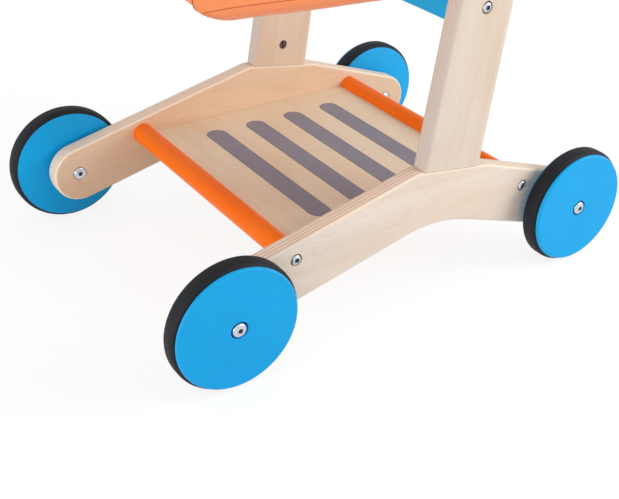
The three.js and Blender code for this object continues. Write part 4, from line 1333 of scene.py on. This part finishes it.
section = []
for a in [math.pi * i / 8 for i in range(9)]:
    section.append((tape_thickness / 2 * (1 - math.cos(a)),
                    tape_top - tape_thickness / 2 * (1 - math.sin(a)) * 0.6))
section += [(tape_thickness, tape_low + 0.6 * mm), (tape_thickness - 0.4 * mm, tape_low),
            (0.4 * mm, tape_low), (0.0, tape_low + 0.6 * mm)]
rings = []
for inset, z in section:
    ring = []
    for (x, y), (nx, ny) in mouth_sides(tape_gap):
        corner_a = Vector((x - math.copysign(inset, x), y - math.copysign(inset, y - basket_middle.y)))
        corner_b = Vector((nx - math.copysign(inset, nx), ny - math.copysign(inset, ny - basket_middle.y)))
        for j in range(24):
            spot = corner_a.lerp(corner_b, j / 24)
            ring.append((spot.x, spot.y, z))
    rings.append(ring)
rings.append(rings[0])
tape_mesh = skin(rings, closed_ends=False)
merge(tape_mesh)
thread = grained("orange_thread", 0.8, 1800.0, 1.0, (255, 150, 100), (230, 110, 60))
tape_cloth = Finish("binding_tape", Roughness=0.85, Sheen_Weight=0.2)
x, y, _ = tape_cloth.place()
rib = ((x + y) * (math.tau / (1.2 * mm))).wave()
tape_tone = tape_cloth.grain(40.0)
woven = rib * 0.2 + tape_tone * 0.6
tape_cloth.set(Base_Color=tape_cloth.mix(woven, colour(244, 118, 62), colour(228, 100, 48)))
tape_cloth.emboss(rib, 0.1 * mm)
tape = piece("basket_binding", tape_mesh, tape_cloth, crease=math.radians(50))

stitching = Layout("stitching", Pitch="Float", Length="Float", Radius="Float", Finish="Material")
curve = stitching.node("GeometryNodeMeshToCurve", {}, {0: stitching.given["Geometry"]})
even = stitching.node("GeometryNodeResampleCurve", {"mode": "LENGTH"},
                      {"Curve": curve, "Length": stitching.given["Pitch"]})
ball = stitching.node("GeometryNodeMeshUVSphere", {}, {"Segments": 6, "Rings": 5, "Radius": 1.0})
thin, long = stitching.given["Radius"], stitching.given["Length"]
size = stitching.node("ShaderNodeCombineXYZ", {}, {0: thin, 1: thin, 2: long})
long_ball = stitching.node("GeometryNodeTransform", {}, {"Geometry": ball, "Scale": size})
tangent = stitching.node("GeometryNodeInputTangent")
along_seam = stitching.node("FunctionNodeAlignRotationToVector", {"axis": "Z"}, {"Vector": tangent})
stitching.ends_with(stitching.node("GeometryNodeInstanceOnPoints", {},
                                   {"Points": even, "Instance": long_ball, "Rotation": along_seam}))


def stitches(name, lines, pitch=3.4 * mm, length=1.25 * mm, radius=0.3 * mm):
    """Rows of stitches along lines of points."""
    points, edges = [], []
    for line in lines:
        first = len(points)
        points += [tuple(point) for point in line]
        edges += [(first + i, first + i + 1) for i in range(len(line) - 1)]
    path = bpy.data.meshes.new("path")
    path.from_pydata(points, edges, [])
    made = stitching.run(path, Pitch=pitch, Length=length, Radius=radius, Finish=thread.material)
    return piece(name, made, thread, crease=math.pi)


stitch_z = tape_low + 2.0 * mm
stitch_in = tape_thickness - tape_gap + 0.05 * mm
tape_lines = [[(*start, stitch_z), (*stop, stitch_z)] for start, stop in mouth_sides(-stitch_in)]
tape_stitches = stitches("binding_stitches", tape_lines)
seam_top = rim_top - tape_height
seam_rank = 5
seam_lines = [[point for point in strip_grid[rank] if point.z < seam_top - 2 * mm]
              for rank in (seam_rank, -1 - seam_rank)]
seam_stitches = stitches("seam_stitches", seam_lines, length=1.1 * mm)

# A thin dark tube laid along each side seam is painted shade: it stands for the shadow in the seam's ditch.
shade_tubing = Layout("shade_tubing", Radius="Float", Finish="Material")
seam_curve = shade_tubing.node("GeometryNodeMeshToCurve", {}, {0: shade_tubing.given["Geometry"]})
tube_section = shade_tubing.node("GeometryNodeCurvePrimitiveCircle", {},
                          {"Resolution": 8, "Radius": shade_tubing.given["Radius"]})
shade_tubing.ends_with(shade_tubing.node("GeometryNodeCurveToMesh", {},
                               {"Curve": seam_curve, "Profile Curve": tube_section, "Fill Caps": True}))
# The tubes' darker orange-brown is the colour of that painted seam shade.
seam_shade_paint = grained("seam_shade_paint", 0.9, 1400.0, 1.0, (206, 98, 52), (168, 74, 38))
seam_points, seam_edges = [], []
for rank in (strip_grid[0], strip_grid[-1]):
    first = len(seam_points)
    seam_points += [tuple(point) for point in rank if point.z < seam_top]
    seam_edges += [(i, i + 1) for i in range(first, len(seam_points) - 1)]
seam_line = bpy.data.meshes.new("seam_line")
seam_line.from_pydata(seam_points, seam_edges, [])
seam_shade_mesh = shade_tubing.run(seam_line, Radius=0.5 * mm, Finish=seam_shade_paint.material)
seam_cords = piece("seam_cords", seam_shade_mesh, seam_shade_paint)

stud = turned([(-0.6 * mm, 2.0 * mm), (0.0, 4.6 * mm), (0.5 * mm, 4.6 * mm), (1.1 * mm, 4.0 * mm),
               (1.4 * mm, 2.8 * mm), (1.2 * mm, 2.0 * mm), (1.2 * mm, 0.4 * mm)], 32)
stud_depth = cloth_thickness + 0.1 * mm
stud_z = rim_height - 2 * mm
side_studs, end_studs = (-178 * mm, -82 * mm, 14 * mm), (-104 * mm, 0.0, 104 * mm)
stud_places = []
for y in side_studs:
    stud_places += [((half_mouth - stud_depth, y, stud_z), (0.0, 0.0, math.pi)),
                    ((-half_mouth + stud_depth, y, stud_z), (0.0, 0.0, 0.0))]
for x in end_studs:
    stud_places += [((x, front_wall + stud_depth, stud_z), (0.0, 0.0, quarter_turn)),
                    ((x, rear_wall - stud_depth, stud_z), (0.0, 0.0, -quarter_turn))]
studs = set_out("press_studs", stud, stud_places, steel, [])

panel_lengths = [sum((low - high).length for high, low in zip(line, line[1:])) for line in zip(*panel_grid)]
panel_cut = (rear_wall - front_wall, max(panel_lengths))
